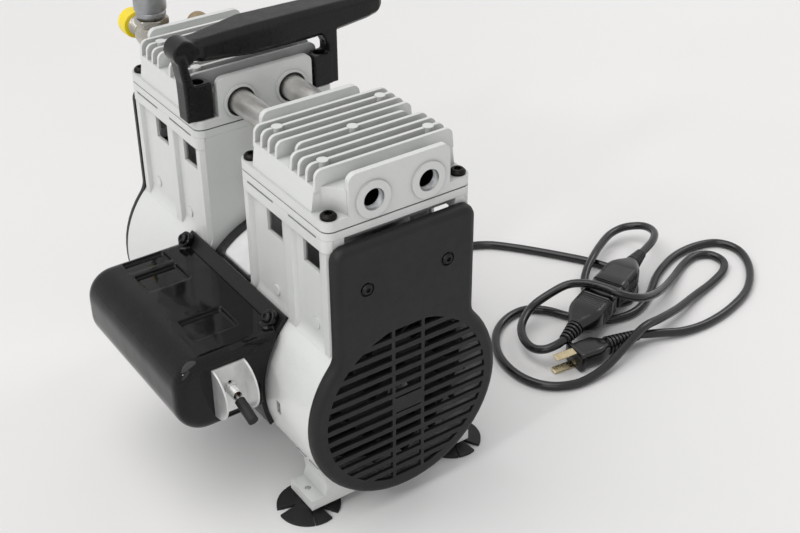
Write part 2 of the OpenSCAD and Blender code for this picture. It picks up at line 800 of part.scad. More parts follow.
// Bare label bent round the motor's upper left side
module motor_label() {
  mid_y = pump_len / 2;
  half = motor_gap / 3;
  reach = 1.4 * motor_r;
  placed() color("white") intersection() {
    difference() {
      bar_y(motor_r + 0.3, mid_y - half, mid_y + half, 0, shaft_z);
      bar_y(motor_r + 0.02, mid_y - half - 1, mid_y + half + 1, 0, shaft_z);
    }
    along_y(mid_y - half - 1, mid_y + half + 1) polygon([[0, shaft_z], [reach * cos(96), shaft_z + reach * sin(96)],
      [reach * cos(134), shaft_z + reach * sin(134)]]);
  }
}

module stator_core() {
  mid_y = pump_len / 2;
  placed() color("darkgray") difference() {
    bar_y(motor_r - motor_wall, mid_y - stator_len / 2, mid_y + stator_len / 2, 0, shaft_z);
    bar_y(stator_bore_r, mid_y - stator_len, mid_y + stator_len, 0, shaft_z);
  }
}

// Wound coil ends on both sides of the core
module stator_windings() {
  mid_y = pump_len / 2;
  placed() color("chocolate") for (s = [-1, 1])
    turned_y(0, shaft_z, 48) translate([(stator_bore_r + motor_r - motor_wall) / 2, mid_y + s * (stator_len / 2 + winding_r)])
      circle(r = winding_r, $fn = 32);
}

// Ball bearing in its end wall: two rings and nine balls
module ball_bearing(y0) {
  ball_r = 2.6;
  mid_r = (bearing_r + shaft_r) / 2;
  difference() {
    bar_y(bearing_r, y0, y0 + bearing_w, 0, shaft_z);
    bar_y(bearing_r - 2.6, y0 - 1, y0 + bearing_w + 1, 0, shaft_z);
  }
  difference() {
    bar_y(shaft_r + 2.1, y0, y0 + bearing_w, 0, shaft_z);
    bar_y(shaft_r + run_clear, y0 - 1, y0 + bearing_w + 1, 0, shaft_z);
  }
  for (k = [0 : 8])
    translate([mid_r * cos(k * 40), y0 + bearing_w / 2, shaft_z + mid_r * sin(k * 40)]) sphere(r = ball_r - 0.03, $fn = 24);
}

module main_bearings() {
  placed() color("lightsteelblue") {
    ball_bearing(bearing_y);
    at_rear() ball_bearing(bearing_y);
  }
}

// Motor shaft from the front fan to the rear fan
module shaft() {
  placed() color("silver") bar_y(shaft_r, fan_y, pump_len - fan_y, 0, shaft_z);
}

module rotor() {
  mid_y = pump_len / 2;
  placed() color("slategray") difference() {
    union() {
      bar_y(stator_bore_r - air_gap, mid_y - stator_len / 2, mid_y + stator_len / 2, 0, shaft_z);
      bar_y(stator_bore_r - 6, mid_y - stator_len / 2 - 5, mid_y + stator_len / 2 + 5, 0, shaft_z);
    }
    bar_y(shaft_r, mid_y - stator_len, mid_y + stator_len, 0, shaft_z);
  }
}

// Fan with swept blades on a back disc
module fan() {
  blade_r = fan_r * 0.9;
  difference() {
    union() {
      bar_y(fan_r, fan_y + fan_w, fan_y + fan_w + fan_back_t, 0, shaft_z);
      bar_y(fan_hub_r, fan_y, fan_y + fan_w + overlap, 0, shaft_z);
      for (k = [0 : fan_blades - 1])
        along_y(fan_y + 1, fan_y + fan_w + overlap) translate([0, shaft_z]) rotate(k * 360 / fan_blades)
          polygon(concat(arc(24, -blade_r / 2, blade_r, 58, 88, 6), arc(24, -blade_r / 2, blade_r - 1.6, 88, 58, 6)));
    }
    bar_y(shaft_r, fan_y - 1, fan_y + fan_w + fan_back_t + 1, 0, shaft_z);
  }
}

module front_fan() {
  placed() color("#3c3c3c") fan();
}

module rear_fan() {
  placed() color("#3c3c3c") at_rear() fan();
}

// Eccentric: a hub on the shaft and the crank pin beside its axis, up = 1 or -1
module eccentric(up) {
  pin_z = shaft_z + up * crank_throw;
  difference() {
    union() {
      bar_y(eccentric_hub_r, bore_y - rod_t / 2 - 12, bore_y - rod_t / 2 - 1, 0, shaft_z);
      bar_y(crank_pin_r, bore_y - rod_t / 2 - 1.5, bore_y + rod_t / 2 + 0.5, 0, pin_z);
      along_y(bore_y - rod_t / 2 - 12, bore_y - rod_t / 2 - 2)
        translate([1 - crank_pin_r, shaft_z - (up > 0 ? 2 * eccentric_hub_r : 0)])
          square([2 * crank_pin_r - 2, 2 * eccentric_hub_r]);
    }
    bar_y(shaft_r, bore_y - rod_t - 12, bore_y + rod_t, 0, shaft_z);
  }
}

module front_eccentric() {
  placed() color("darkgray") eccentric(1);
}

module rear_eccentric() {
  placed() color("darkgray") at_rear() eccentric(-1);
}

// Connecting rod and piston in one casting
module rod(up) {
  pin_z = shaft_z + up * crank_throw;
  head_low_z = rod_top_z + up * crank_throw - piston_t - 3;
  difference() {
    union() {
      bar_y(big_end_r, bore_y - rod_t / 2, bore_y + rod_t / 2, 0, pin_z);
      along_y(bore_y - 4, bore_y + 4) polygon([[-16, pin_z + 18], [16, pin_z + 18], [9, head_low_z], [-9, head_low_z]]);
      along_y(bore_y - 6, bore_y + 6) translate([-3, pin_z + 20]) square([6, head_low_z - pin_z - 20]);
      translate([0, bore_y, head_low_z - 1]) cylinder(r = piston_r - 1.5, h = piston_t + 1);
    }
    bar_y(rod_bearing_r, bore_y - rod_t, bore_y + rod_t, 0, pin_z);
  }
}

module front_rod() {
  placed() color("lightgray") rod(1);
}

module rear_rod() {
  placed() color("lightgray") at_rear() rod(-1);
}

// Bearing pressed into the big end, running on the crank pin
module rod_bearing(up) {
  pin_z = shaft_z + up * crank_throw;
  difference() {
    bar_y(rod_bearing_r, bore_y - rod_t / 2 + 1, bore_y + rod_t / 2 - 1, 0, pin_z);
    bar_y(crank_pin_r + run_clear, bore_y - rod_t, bore_y + rod_t, 0, pin_z);
  }
}

module front_rod_bearing() {
  placed() color("lightsteelblue") rod_bearing(1);
}

module rear_rod_bearing() {
  placed() color("lightsteelblue") at_rear() rod_bearing(-1);
}

// Cup seal on the piston's head
module cup_seal(up) {
  z = rod_top_z + up * crank_throw - 3;
  translate([0, bore_y, z]) rotate_extrude()
    polygon([[4, 0], [piston_r - 1.6, 0], [piston_r, 1.2], [piston_r, 2.6], [piston_r - 1, 2.6],
      [piston_r - 1.8, 1], [4, 1]]);
}

module front_cup_seal() {
  placed() color("#5a4632") cup_seal(1);
}

module rear_cup_seal() {
  placed() color("#5a4632") at_rear() cup_seal(-1);
}

// Retaining plate with its screw, over the cup seal
module retainer(up) {
  z = rod_top_z + up * crank_throw - 2;
  translate([0, bore_y, z]) {
    cylinder(r = piston_r - 3, h = 2);
    translate([0, 0, -1]) cylinder(r = 3.9, h = 2);
  }
}

module front_retainer() {
  placed() color("silver") retainer(1);
}

module rear_retainer() {
  placed() color("silver") at_rear() retainer(-1);
}

// Bevelled cross section of the grip at x, given by its front, back, underside and top
module grip_slab(x, y0, y1, z0, z1) {
  b = 3;
  translate([x, handle_y, grip_z]) rotate([90, 0, 90]) linear_extrude(slab_t)
    polygon([[y0 + b, z0], [y1 - b, z0], [y1, z0 + b], [y1, z1 - b], [y1 - b, z1], [y0 + b, z1], [y0, z1 - b], [y0, z0 + b]]);
}

// Moulded handle on the rear head's front corners. Its grip runs on past the right leg.
module handle() {
  w = head_w / 2;
  low_z = flange_top_z;
  block_x = 13.5;
  sections = [[-roll_reach + 4, 1.5, grip_d * 0.67, grip_h * 0.22, grip_h * 0.97],
    [-w * 0.8, 0.5, grip_d * 0.67, grip_h * 0.23, grip_h * 0.93], [-w * 0.1, 0.5, grip_d, 0, grip_h],
    [w * 0.8, 0.5, grip_d * 0.93, 0, grip_h], [w * 1.2, 0.5, grip_d * 0.85, grip_h * 0.08, grip_h],
    [grip_reach, 2.5, grip_d * 0.63, grip_h * 0.4, grip_h * 0.9]];
  placed() color("#222222") difference() {
    union() {
      for (k = [0 : len(sections) - 2]) {
        a = sections[k];
        b = sections[k + 1];
        hull() {
          grip_slab(a[0], a[1], a[2], a[3], a[4]);
          grip_slab(b[0], b[1], b[2], b[3], b[4]);
        }
      }
      bar_y(roll_r, handle_y + 1.5, handle_y + 16, -roll_reach, grip_z + grip_h - roll_r - 1);
      for (s = [-1, 1]) {
        translate([s > 0 ? w - 2 : -w + 2 - leg_t, handle_y, low_z])
          cube([leg_t, leg_d, grip_z - low_z + grip_h * 0.4]);
        intersection() {
          translate([s > 0 ? w - block_x : -w, handle_y, low_z]) cube([block_x, leg_d, block_h]);
          translate([s * w, handle_y - 0.5, low_z - 1]) cylinder(r = recess_r - 0.4, h = block_h + 2);
        }
      }
    }
    for (s = [-1, 1]) translate([s * screw_x, handle_y - 0.5 + screw_inset, 0]) {
      translate([0, 0, low_z + pin_hold]) cylinder(r = head_screw_head_r + 0.3, h = block_h, $fn = 32);
      translate([0, 0, low_z - 1]) cylinder(r = head_screw_r + screw_clear, h = 20, $fn = 24);
    }
  }
}

// Places a child at each of the four feet
module at_feet() {
  for (x = [-foot_x, foot_x], y = [foot_y, pump_len - foot_y]) translate([x, y, 0]) children();
}

// Suction foot: a flat disc cut into petals, with a short neck
module suction_foot() {
  hub_r = foot_neck_r + 3;
  difference() {
    rotate_extrude($fn = 64) polygon([[0, 2], [foot_r - 5, 0.5], [foot_r - 4, 0], [foot_r, 0], [foot_r, foot_lip_t],
      [foot_neck_r + 3, foot_lip_t + 1.8], [foot_neck_r, foot_lip_t + 3], [foot_neck_r, rail_z], [0, rail_z]]);
    for (a = [170, 293]) rotate(a)
      linear_extrude(rail_z) polygon([[hub_r, -0.6], [foot_r + 1, -3.2], [foot_r + 1, 3.2], [hub_r, 0.6]]);
    for (a = [15, 105, 250]) rotate(a)
      translate([hub_r + 1, -0.3, -1]) cube([foot_r, 0.6, rail_z]);
    translate([0, 0, -1]) cylinder(r = small_screw_r, h = rail_z + 2, $fn = 24);
    translate([0, 0, -1]) cylinder(r = small_screw_head_r + 0.2, h = 4.6, $fn = 32);
  }
}

module suction_feet() {
  placed() color("#2a2a2a") at_feet() suction_foot();
}

module foot_screws() {
  placed() color("gray") at_feet() translate([0, 0, 3.6]) mirror([0, 0, 1])
    screw(small_screw_head_r, small_screw_head_h, small_screw_r - 0.02, rail_z + 9, 1.5);
}

// Band bent round the shaft between two radii and two angles
module band(r0, r1, a0, a1, n = 20) {
  polygon(concat(arc(0, shaft_z, r1, a0, a1, n), arc(0, shaft_z, r0, a1, a0, n)));
}

// Curved saddle between the box's cover and the pump's side
module box_saddle() {
  placed() color("#1a1a1a") difference() {
    along_y(box_y + 4, box_end_y - 4) band(saddle_r, saddle_r + saddle_t, saddle_top_a, saddle_low_a);
    for (y = box_lugs_y) on_lug(y) translate([0, 0, -20]) cylinder(r = small_screw_r, h = 40, $fn = 24);
  }
}

// Places a child on a lug of the box, its Z axis away from the shaft
module on_lug(y) {
  r = saddle_r + saddle_t;
  translate([r * cos(lug_a), y, shaft_z + r * sin(lug_a)]) rotate([0, 90 - lug_a, 0]) children();
}

// Outline of the box's cover in X and Z, before the saddle's hollow is cut
function box_outline(inset) = let (r = box_corner_r - inset, right_x = -(saddle_r + saddle_t) * 0.7) concat(
  arc(box_corner_r - box_x, box_top_z - box_corner_r, r, 90, 180, 10),
  arc(box_corner_r + 2 - box_x, box_low_z + box_corner_r + 2, r + 2, 180, 270, 10),
  [[right_x, box_low_z + inset], [right_x, box_top_z - inset]]);

// Body of the box with rounded ends, drawn in by a wall and cut by the saddle's round
module box_body(wall) {
  // Inset of the outline and distance from the box's end
  ends = [[6, 0], [3.4, 0.9], [1.5, 2.4], [0.4, 4.6], [0, 7]];
  m = len(ends);
  rings = concat([for (e = ends) [wall + e[0], box_y + wall + e[1]]],
    [for (k = [m - 1 : -1 : 0]) [wall + ends[k][0], box_end_y - wall - ends[k][1]]]);
  n = len(box_outline(0));
  last = len(rings) - 1;
  points = [for (q = rings, p = box_outline(q[0])) [p[0], q[1], p[1]]];
  sides = [for (k = [0 : last - 1], i = [0 : n - 1], half = [0, 1])
    let (a = k * n + i, b = k * n + (i + 1) % n, c = b + n, d = a + n) half == 0 ? [a, b, c] : [a, c, d]];
  difference() {
    polyhedron(points, concat(sides, [[for (i = [0 : n - 1]) n - 1 - i]], [[for (i = [0 : n - 1]) last * n + i]]));
    bar_y(saddle_r + saddle_t + 0.1 + wall, box_y - 1, box_end_y + 1, 0, shaft_z);
  }
}

// Glossy cover of the switch box, with pockets in its top and two lugs
module box_cover() {
  pocket_x = -pocket_end_x - pocket_w;
  placed() color("#101010") difference() {
    union() {
      difference() {
        box_body(0);
        box_body(box_wall);
      }
      for (p = box_pockets()) translate([pocket_x - box_wall, p[0] - box_wall, box_top_z - pocket_deep - box_wall])
        cube([pocket_w + box_wall, p[1] - p[0] + 2 * box_wall, box_wall + 0.4]);
      for (y = box_lugs_y) on_lug(y) translate([0, 0, 0.1]) cylinder(r = lug_r, h = lug_h, $fn = 32);
    }
    for (p = box_pockets()) translate([pocket_x, p[0], box_top_z - pocket_deep]) cube([pocket_w, p[1] - p[0], 20]);
    for (y = box_lugs_y) on_lug(y) translate([0, 0, -1])
      cylinder(r = small_screw_r + screw_clear, h = lug_h + 7, $fn = 24);
    bar_y(saddle_r + saddle_t + 0.1, box_y - 1, box_end_y + 1, 0, shaft_z);
    bar_y(bush_r + screw_clear, box_y - 1, box_y + box_wall + 1, -switch_x, switch_z);
  }
}

// Start and end of each pocket along the shaft
function box_pockets() = [[box_y + 22, box_y + 45], [box_y + 85, box_y + 106], [box_y + 111, box_y + 124]];
pocket_w = 29;
pocket_end_x = 73;

module box_screws() {
  placed() color("#2c2c2c") for (y = box_lugs_y) on_lug(y) translate([0, 0, lug_h + 0.1])
    screw(small_screw_head_r, small_screw_head_h, small_screw_r - 0.02, lug_h + saddle_t - 0.4, 1.6);
}

module capacitor() {
  y0 = box_y + 40;
  placed() color("#404048") bar_y(capacitor_r, y0, y0 + capacitor_len, capacitor_r + box_wall + 2 - box_x,
    box_low_z + box_wall + capacitor_r + 0.3);
}

// Switch with its threaded bush through the box's front wall
module switch_body() {
  y0 = box_y + box_wall;
  placed() color("#50302a") {
    translate([-switch_x - 6.5, y0, switch_z - 8]) cube([13, 20, 16]);
    difference() {
      bar_y(bush_r, box_y - bush_len, y0 + overlap, -switch_x, switch_z);
      bar_y(bush_r - 0.6, box_y - bush_len - 1, box_y - bush_len + 9, -switch_x, switch_z);
    }
  }
}

// Bent sheet with an ear on each side of the switch
module switch_guard() {
  w = switch_guard_w;
  h = switch_guard_h;
  placed() color("lightgray") difference() {
    union() {
      translate([-switch_x - w / 2, box_y - switch_sheet_t, switch_z - h / 2]) cube([w, switch_sheet_t, h]);
      for (x = [-switch_x - w / 2, -switch_x + w / 2 - switch_sheet_t]) translate([x, box_y, switch_z])
        rotate([90, 0, 90]) linear_extrude(switch_sheet_t) polygon(concat([[0, -h / 2], [0, h / 2]],
          [for (p = arc(0, 0, h / 2, 90, -90, 16)) [-p[0] * 2 * switch_ear_len / h, p[1]]]));
    }
    bar_y(bush_r + screw_clear, box_y - 3, box_y + 1, -switch_x, switch_z);
    translate([-switch_x - 1, box_y - 2, switch_z + bush_r - 0.5]) cube([2, 3, 3]);
  }
}

module switch_nut() {
  y0 = box_y - switch_sheet_t - 2.4;
  placed() color("silver") difference() {
    translate([-switch_x, y0 + 2.4, switch_z]) rotate([90, 0, 0]) cylinder(r = 5.2, h = 2.4, $fn = 6);
    bar_y(bush_r + run_clear, y0 - 1, y0 + 4, -switch_x, switch_z);
  }
}

// Pivot of the lever, inside the bush
lever_pivot_y = box_y - bush_len + 5;

// Turns a child from straight ahead down to the lever's rest
module at_lever() {
  translate([-switch_x, lever_pivot_y, switch_z]) rotate([toggle_rest, 0, 0]) children();
}

module toggle_lever() {
  placed() color("silver") at_lever() {
    rotate([90, 0, 0]) cylinder(r = 0.75, h = lever_len - 4, $fn = 32);
    rotate([90, 0, 0]) translate([0, 0, 6.5]) cylinder(r = lever_r, h = lever_len - 6.5, $fn = 32);
    rotate([0, 90, 0]) cylinder(r = 1.2, h = 2 * bush_r - 2.6, center = true, $fn = 32);
  }
}

module lever_sleeve() {
  placed() color("#181818") at_lever() rotate([90, 0, 0]) translate([0, 0, 7.5]) difference() {
    cylinder(r = sleeve_r, h = lever_len - 5.5, $fn = 32);
    translate([0, 0, -1]) cylinder(r = lever_r, h = lever_len - 6.5, $fn = 32);
  }
}

// Tee on the rear head's left port: up to a silencer, and back to a closed branch
module tee_fitting() {
  y = pump_len + fitting_y;
  top_z = port_z + silencer_rise;
  placed() color("silver") {
    bar_y(port_r - 0.02, pump_len - port_depth + 4, pump_len + 2, -port_x, port_z);
    translate([-port_x, pump_len + 8, port_z]) rotate([90, 0, 0]) cylinder(r = 10, h = 6.8, $fn = 6);
    bar_y(fitting_r, pump_len + 7, y + fitting_r + 3, -port_x, port_z);
    bar_y(fitting_r + 1.6, y - fitting_r - 2, y + fitting_r + 2, -port_x, port_z);
    bar_y(branch_r, y, y + branch_len, -port_x, port_z);
    translate([-port_x, y, port_z]) cylinder(r = fitting_r + 0.6, h = silencer_rise);
    translate([-port_x, y, top_z - 6.4]) cylinder(r = silencer_r + 0.9, h = 5.2, $fn = 6);
  }
}

// Soft cap pushed over the branch
module branch_cap() {
  end_y = pump_len + fitting_y + branch_len;
  r = branch_r + cap_wall;
  placed() color("gold") difference() {
    turned_y(-port_x, port_z, 48) polygon(concat([[0, end_y - cap_grip], [r, end_y - cap_grip]],
      arc(r - 3, end_y + cap_wall - 3, 3, 0, 90, 6), [[0, end_y + cap_wall]]));
    bar_y(branch_r + run_clear, end_y - cap_grip - 1, end_y, -port_x, port_z);
  }
}

// Silencer with a narrow foot and a rounded top
module silencer_form(len) {
  rotate_extrude($fn = 48) polygon(concat([[0, 0], [silencer_r - 1.2, 0], [silencer_r, 1.2]],
    arc(silencer_r - 4, len - 4, 4, 0, 90, 6), [[0, len]]));
}

module upright_silencer() {
  placed() color("darkgray") translate([-port_x, pump_len + fitting_y, port_z + silencer_rise]) silencer_form(silencer_len);
}

// Short silencer with a domed end in the rear head's right port
module rear_silencer() {
  r = short_silencer_r;
  end_y = pump_len + short_silencer_len;
  placed() color("tan") {
    bar_y(port_r - 0.02, pump_len - port_depth + 4, pump_len + 2, port_x, port_z);
    translate([port_x, pump_len + 8, port_z]) rotate([90, 0, 0]) cylinder(r = 9.8, h = 6.8, $fn = 6);
    turned_y(port_x, port_z, 48) polygon(concat([[0, pump_len + 7], [r - 0.4, pump_len + 7], [r, pump_len + 9]],
      arc(0, end_y - r, r, 0, 90, 9)));
  }
}

// Tapered strain relief through the motor shell's right side
module strain_relief() {
  placed() color("#181818") translate([motor_r, pump_len / 2, shaft_z]) rotate([0, 90, 0]) {
    translate([0, 0, 0.3 - motor_wall]) cylinder(r = relief_foot_r - 2, h = motor_wall + overlap);
    translate([0, 0, 0.1]) cylinder(r = relief_foot_r, h = 3);
    translate([0, 0, 2]) cylinder(r1 = relief_r, r2 = cord_r + 0.8, h = relief_len - 2);
    for (k = [1 : 5]) translate([0, 0, k * relief_len / 6.5]) cylinder(r = relief_r + 0.4 - k * 0.35, h = 2);
  }
}

function unit(v) = v / norm(v);

// Ring of points round p, square to direction t
function ring(p, t, r, n) = let (s = unit(cross(t, [0, 0, 1])), u = cross(s, t))
  [for (k = [0 : n - 1]) p + r * (cos(360 * k / n) * s + sin(360 * k / n) * u)];

// Tube swept along a route, its two end faces square to t0 and t1
module tube(route, r, t0, t1, n = 8) {
  last = len(route) - 1;
  rings = [for (i = [0 : last])
    ring(route[i], i == 0 ? t0 : i == last ? t1 : unit(route[i + 1] - route[i - 1]), r, n)];
  points = [for (q = rings, p = q) p];
  sides = [for (i = [0 : last - 1], k = [0 : n - 1], half = [0, 1]) let (a = i * n, b = a + n, m = (k + 1) % n)
    half == 0 ? [a + k, a + m, b + m] : [a + k, b + m, b + k]];
  polyhedron(points, concat(sides, [[for (k = [0 : n - 1]) n - 1 - k]], [[for (k = [0 : n - 1]) last * n + k]]));
}

// Point of a cord, whose third number is the height of its underside over the bench
function on_bench(p) = [p[0], p[1], p[2] + cord_r];

module captive_cord() {
  route = concat([gland_tip], [for (p = captive_route) on_bench(p)], [connector_tip(1)]);
  placed() color("#151515") tube(route, cord_r, [1, 0, 0], -connector_dir);
}

module power_cord() {
  route = concat([connector_tip(-1)], [for (p = power_route) on_bench(p)], [plug_tip]);
  placed() color("#151515") tube(route, cord_r, -connector_dir, plug_dir);
}

// Thin slab across X, the section of a lofted body
module slab(x, w, h, r) {
  translate([x, 0, 0]) rotate([90, 0, 90]) linear_extrude(0.2) polygon(rounded_rect(w, h, r, 4));
}

// One half of the inline connector, along +X from the mating face
module connector_half(nose_w) {
  w = connector_w;
  h = connector_h;
  hull() {
    slab(0.05, nose_w, h - 2, 3);
    slab(6, w, h, 4);
  }
  hull() {
    slab(6, w, h, 4);
    slab(connector_len * 0.62, w, h, 5);
    slab(connector_len - 1, w * 0.55, h * 0.66, 5);
  }
  translate([connector_len - 2, 0, 0]) rotate([0, 90, 0]) cylinder(r1 = relief_r, r2 = cord_r + 0.8, h = connector_relief_len + 2);
  for (k = [0 : 2])
    translate([connector_len + 1 + k * 3.8, 0, 0]) rotate([0, 90, 0]) cylinder(r = relief_r + 0.6 - k * 0.5, h = 2);
}

// Places one half of the connector: end = 1 towards the pump's lead, -1 towards the plug
module at_connector(end) {
  translate(connector_at) rotate([0, -connector_tilt, connector_turn]) mirror([end > 0 ? 0 : 1, 0, 0]) children();
}

module captive_connector() {
  placed() color("#161616") at_connector(1) connector_half(connector_w - 1);
}

module power_connector() {
  placed() color("#161616") at_connector(-1) connector_half(connector_w - 4);
}

// Places a child at the plug's front face, its +X away from the blades
module at_plug() {
  translate([plug_end[0], plug_end[1], plug_h / 2]) rotate([0, 0, plug_turn]) translate([-plug_len - plug_relief_len, 0, 0])
    children();
}

module plug() {
  placed() color("#161616") at_plug() {
    hull() {
      slab(0, plug_w * 0.9, plug_h, 3);
      slab(3, plug_w * 0.94, plug_h, 3);
    }
    hull() {
      slab(2.5, plug_w * 0.8, plug_h - 2, 3);
      slab(plug_len * 0.7, plug_w * 0.84, plug_h - 2, 3);
      slab(plug_len, plug_w * 0.5, plug_h * 0.6, 3);
    }
    translate([plug_len - 1, 0, 0]) rotate([0, 90, 0]) cylinder(r1 = relief_r + 1, r2 = cord_r + 0.8, h = plug_relief_len + 1);
    for (k = [0 : 5])
      translate([plug_len + 2 + k * 3.8, 0, 0]) rotate([0, 90, 0]) cylinder(r = relief_r + 1 - k * 0.45, h = 2);
  }
}

// Two flat blades, one above the other as the plug lies on its side
module plug_blades() {
  placed() color("goldenrod") at_plug() rotate([-blade_roll, 0, 0]) for (s = [-1, 1])
    translate([0, 0, s * blade_gap / 2]) rotate([90, 0, 180]) linear_extrude(blade_w, center = true)
      polygon([[0, -blade_t / 2], [blade_len - 2, -blade_t / 2], [blade_len, -blade_t / 5],
        [blade_len, blade_t / 5], [blade_len - 2, blade_t / 2], [0, blade_t / 2]]);
}

// Routes of the lead in X, Y and the height of its underside over the bench
captive_route = [[116, 126, 72], [131, 132, 60], [142, 143, 45], [152, 157, 29], [162, 173, 14],
  [174, 189, 4], [190, 203, 0], [208, 209, 0], [226, 201, 0], [241, 185, 0], [254, 168, 0], [266, 151, 0],
  [277, 134, 0], [285, 116, 0], [287, 98, 0], [280, 83, 0], [266, 74, 0], [252, 78, 0], [244, 91, 0],
  [248, 106, 1], [260, 118, 5], [276, 128, 8], [293, 138, 8], [311, 146, 8], [327, 146, 9],
  [337, 135, 12], [334, 120, 15], [321, 108, 17]];
power_route = [[170, 49, 12], [161, 52, 10], [157, 61, 8], [160, 75, 8], [170, 88, 9], [187, 97, 12],
  [203, 96, 18], [216, 91, 24], [224, 80, 28], [229, 66, 30], [236, 54, 28], [249, 48, 23], [269, 53, 15],
  [293, 64, 7], [316, 76, 2], [336, 86, 0], [353, 90, 0], [365, 84, 0], [366, 71, 0], [355, 61, 0],
  [335, 54, 0], [309, 47, 2], [282, 38, 6], [257, 31, 11], [235, 27, 14], [213, 22, 9], [189, 17, 3],
  [165, 17, 0], [147, 25, 0], [137, 40, 0], [135, 60, 0], [141, 81, 0], [155, 99, 0], [173, 109, 0],
  [191, 110, 0], [204, 100, 0], [213, 84, 0], [224, 70, 0], [240, 61, 0], [260, 60, 0], [283, 70, 0],
  [308, 87, 0], [337, 99, 0], [363, 101, 0], [383, 94, 0], [389, 76, 0], [377, 53, 0], [352, 32, 0],
  [322, 21, 0], [293, 17, 0], [270, 19, 1], [252, 25, 3]];
relief_foot_r = 9;
connector_relief_len = 17;
plug_relief_len = 30;
connector_at = [238, 73.5, 19];
connector_turn = 21.8;
connector_tilt = 2.3;
connector_dir = [cos(connector_turn) * cos(connector_tilt), sin(connector_turn) * cos(connector_tilt), sin(connector_tilt)];
plug_end = [234.6, 31.8];
plug_turn = -5.8;
plug_dir = [-cos(plug_turn), -sin(plug_turn), 0];
plug_tip = [plug_end[0], plug_end[1], plug_h / 2];
blade_roll = -8;
gland_tip = [motor_r + relief_len, pump_len / 2, shaft_z];

function connector_tip(end) = connector_at + end * (connector_len + connector_relief_len) * connector_dir;

front_housing();
rear_housing();
front_guard();
rear_guard();
guard_screws();
front_head();
rear_head();
head_screws();
head_gaskets();
front_valve_plate();
rear_valve_plate();
reed_valves();
front_cylinder();
rear_cylinder();
transfer_tubes();
tube_o_rings();
motor_shell();
motor_label();
stator_core();
stator_windings();
main_bearings();
shaft();
rotor();
front_fan();
rear_fan();
front_eccentric();
rear_eccentric();
front_rod();
rear_rod();
front_rod_bearing();
rear_rod_bearing();
front_cup_seal();
rear_cup_seal();
front_retainer();
rear_retainer();
handle();
suction_feet();
foot_screws();
box_saddle();
box_cover();
box_screws();
capacitor();
switch_body();
switch_guard();
switch_nut();
toggle_lever();
lever_sleeve();
tee_fitting();
branch_cap();
upright_silencer();
rear_silencer();
strain_relief();
captive_cord();
captive_connector();
power_connector();
power_cord();
plug();
plug_blades();
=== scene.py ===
import json
import math

import bmesh
import bpy
import numpy as np
from mathutils import Matrix, Vector


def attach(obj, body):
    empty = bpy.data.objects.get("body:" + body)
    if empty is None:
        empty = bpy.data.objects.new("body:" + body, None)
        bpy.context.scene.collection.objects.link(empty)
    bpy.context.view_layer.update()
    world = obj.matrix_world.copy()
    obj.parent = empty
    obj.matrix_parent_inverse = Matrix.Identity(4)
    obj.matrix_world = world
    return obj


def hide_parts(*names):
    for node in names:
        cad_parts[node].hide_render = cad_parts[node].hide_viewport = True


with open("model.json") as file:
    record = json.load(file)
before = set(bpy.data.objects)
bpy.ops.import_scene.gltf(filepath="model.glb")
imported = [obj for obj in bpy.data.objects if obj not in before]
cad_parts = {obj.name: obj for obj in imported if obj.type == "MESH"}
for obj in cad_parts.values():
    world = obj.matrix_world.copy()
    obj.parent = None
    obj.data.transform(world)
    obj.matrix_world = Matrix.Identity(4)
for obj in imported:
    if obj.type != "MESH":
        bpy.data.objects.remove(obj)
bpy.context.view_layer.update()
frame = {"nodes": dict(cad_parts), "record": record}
nodes = frame["nodes"]
MM = 0.001

# The pump's own frame has its zero on the shaft axis at the front face; the part's frame is moved by this
SHIFT = Vector((0.0174, -0.1513, 0.0))


def at(x, y, z):
    """Point of the pump's own frame, in millimetres, as a place in the part's frame in metres."""
    return Vector((x, y, z)) * MM + SHIFT


# Camera, solved from the photograph
camera_data = bpy.data.cameras.new("camera")
camera_data.lens = 59.92
camera_data.sensor_width = 36.0
camera_data.clip_start = 0.05
camera = bpy.data.objects.new("camera", camera_data)
camera.location = at(-364.8, -528.35, 587.36)
camera.rotation_euler = (Matrix.Rotation(math.radians(-34.55), 3, "Z")
                         @ Matrix.Rotation(math.radians(57.11), 3, "X")
                         @ Matrix.Rotation(math.radians(-0.34), 3, "Z")).to_euler()
bpy.context.scene.collection.objects.link(camera)
bpy.context.scene.camera = camera

# Materials


def feed(tree, socket, value):
    """Links a socket to another one or sets its value; a colour gets its alpha."""
    if isinstance(value, bpy.types.NodeSocket):
        tree.links.new(value, socket)
    else:
        socket.default_value = (*value, 1.0) if isinstance(value, tuple) else value


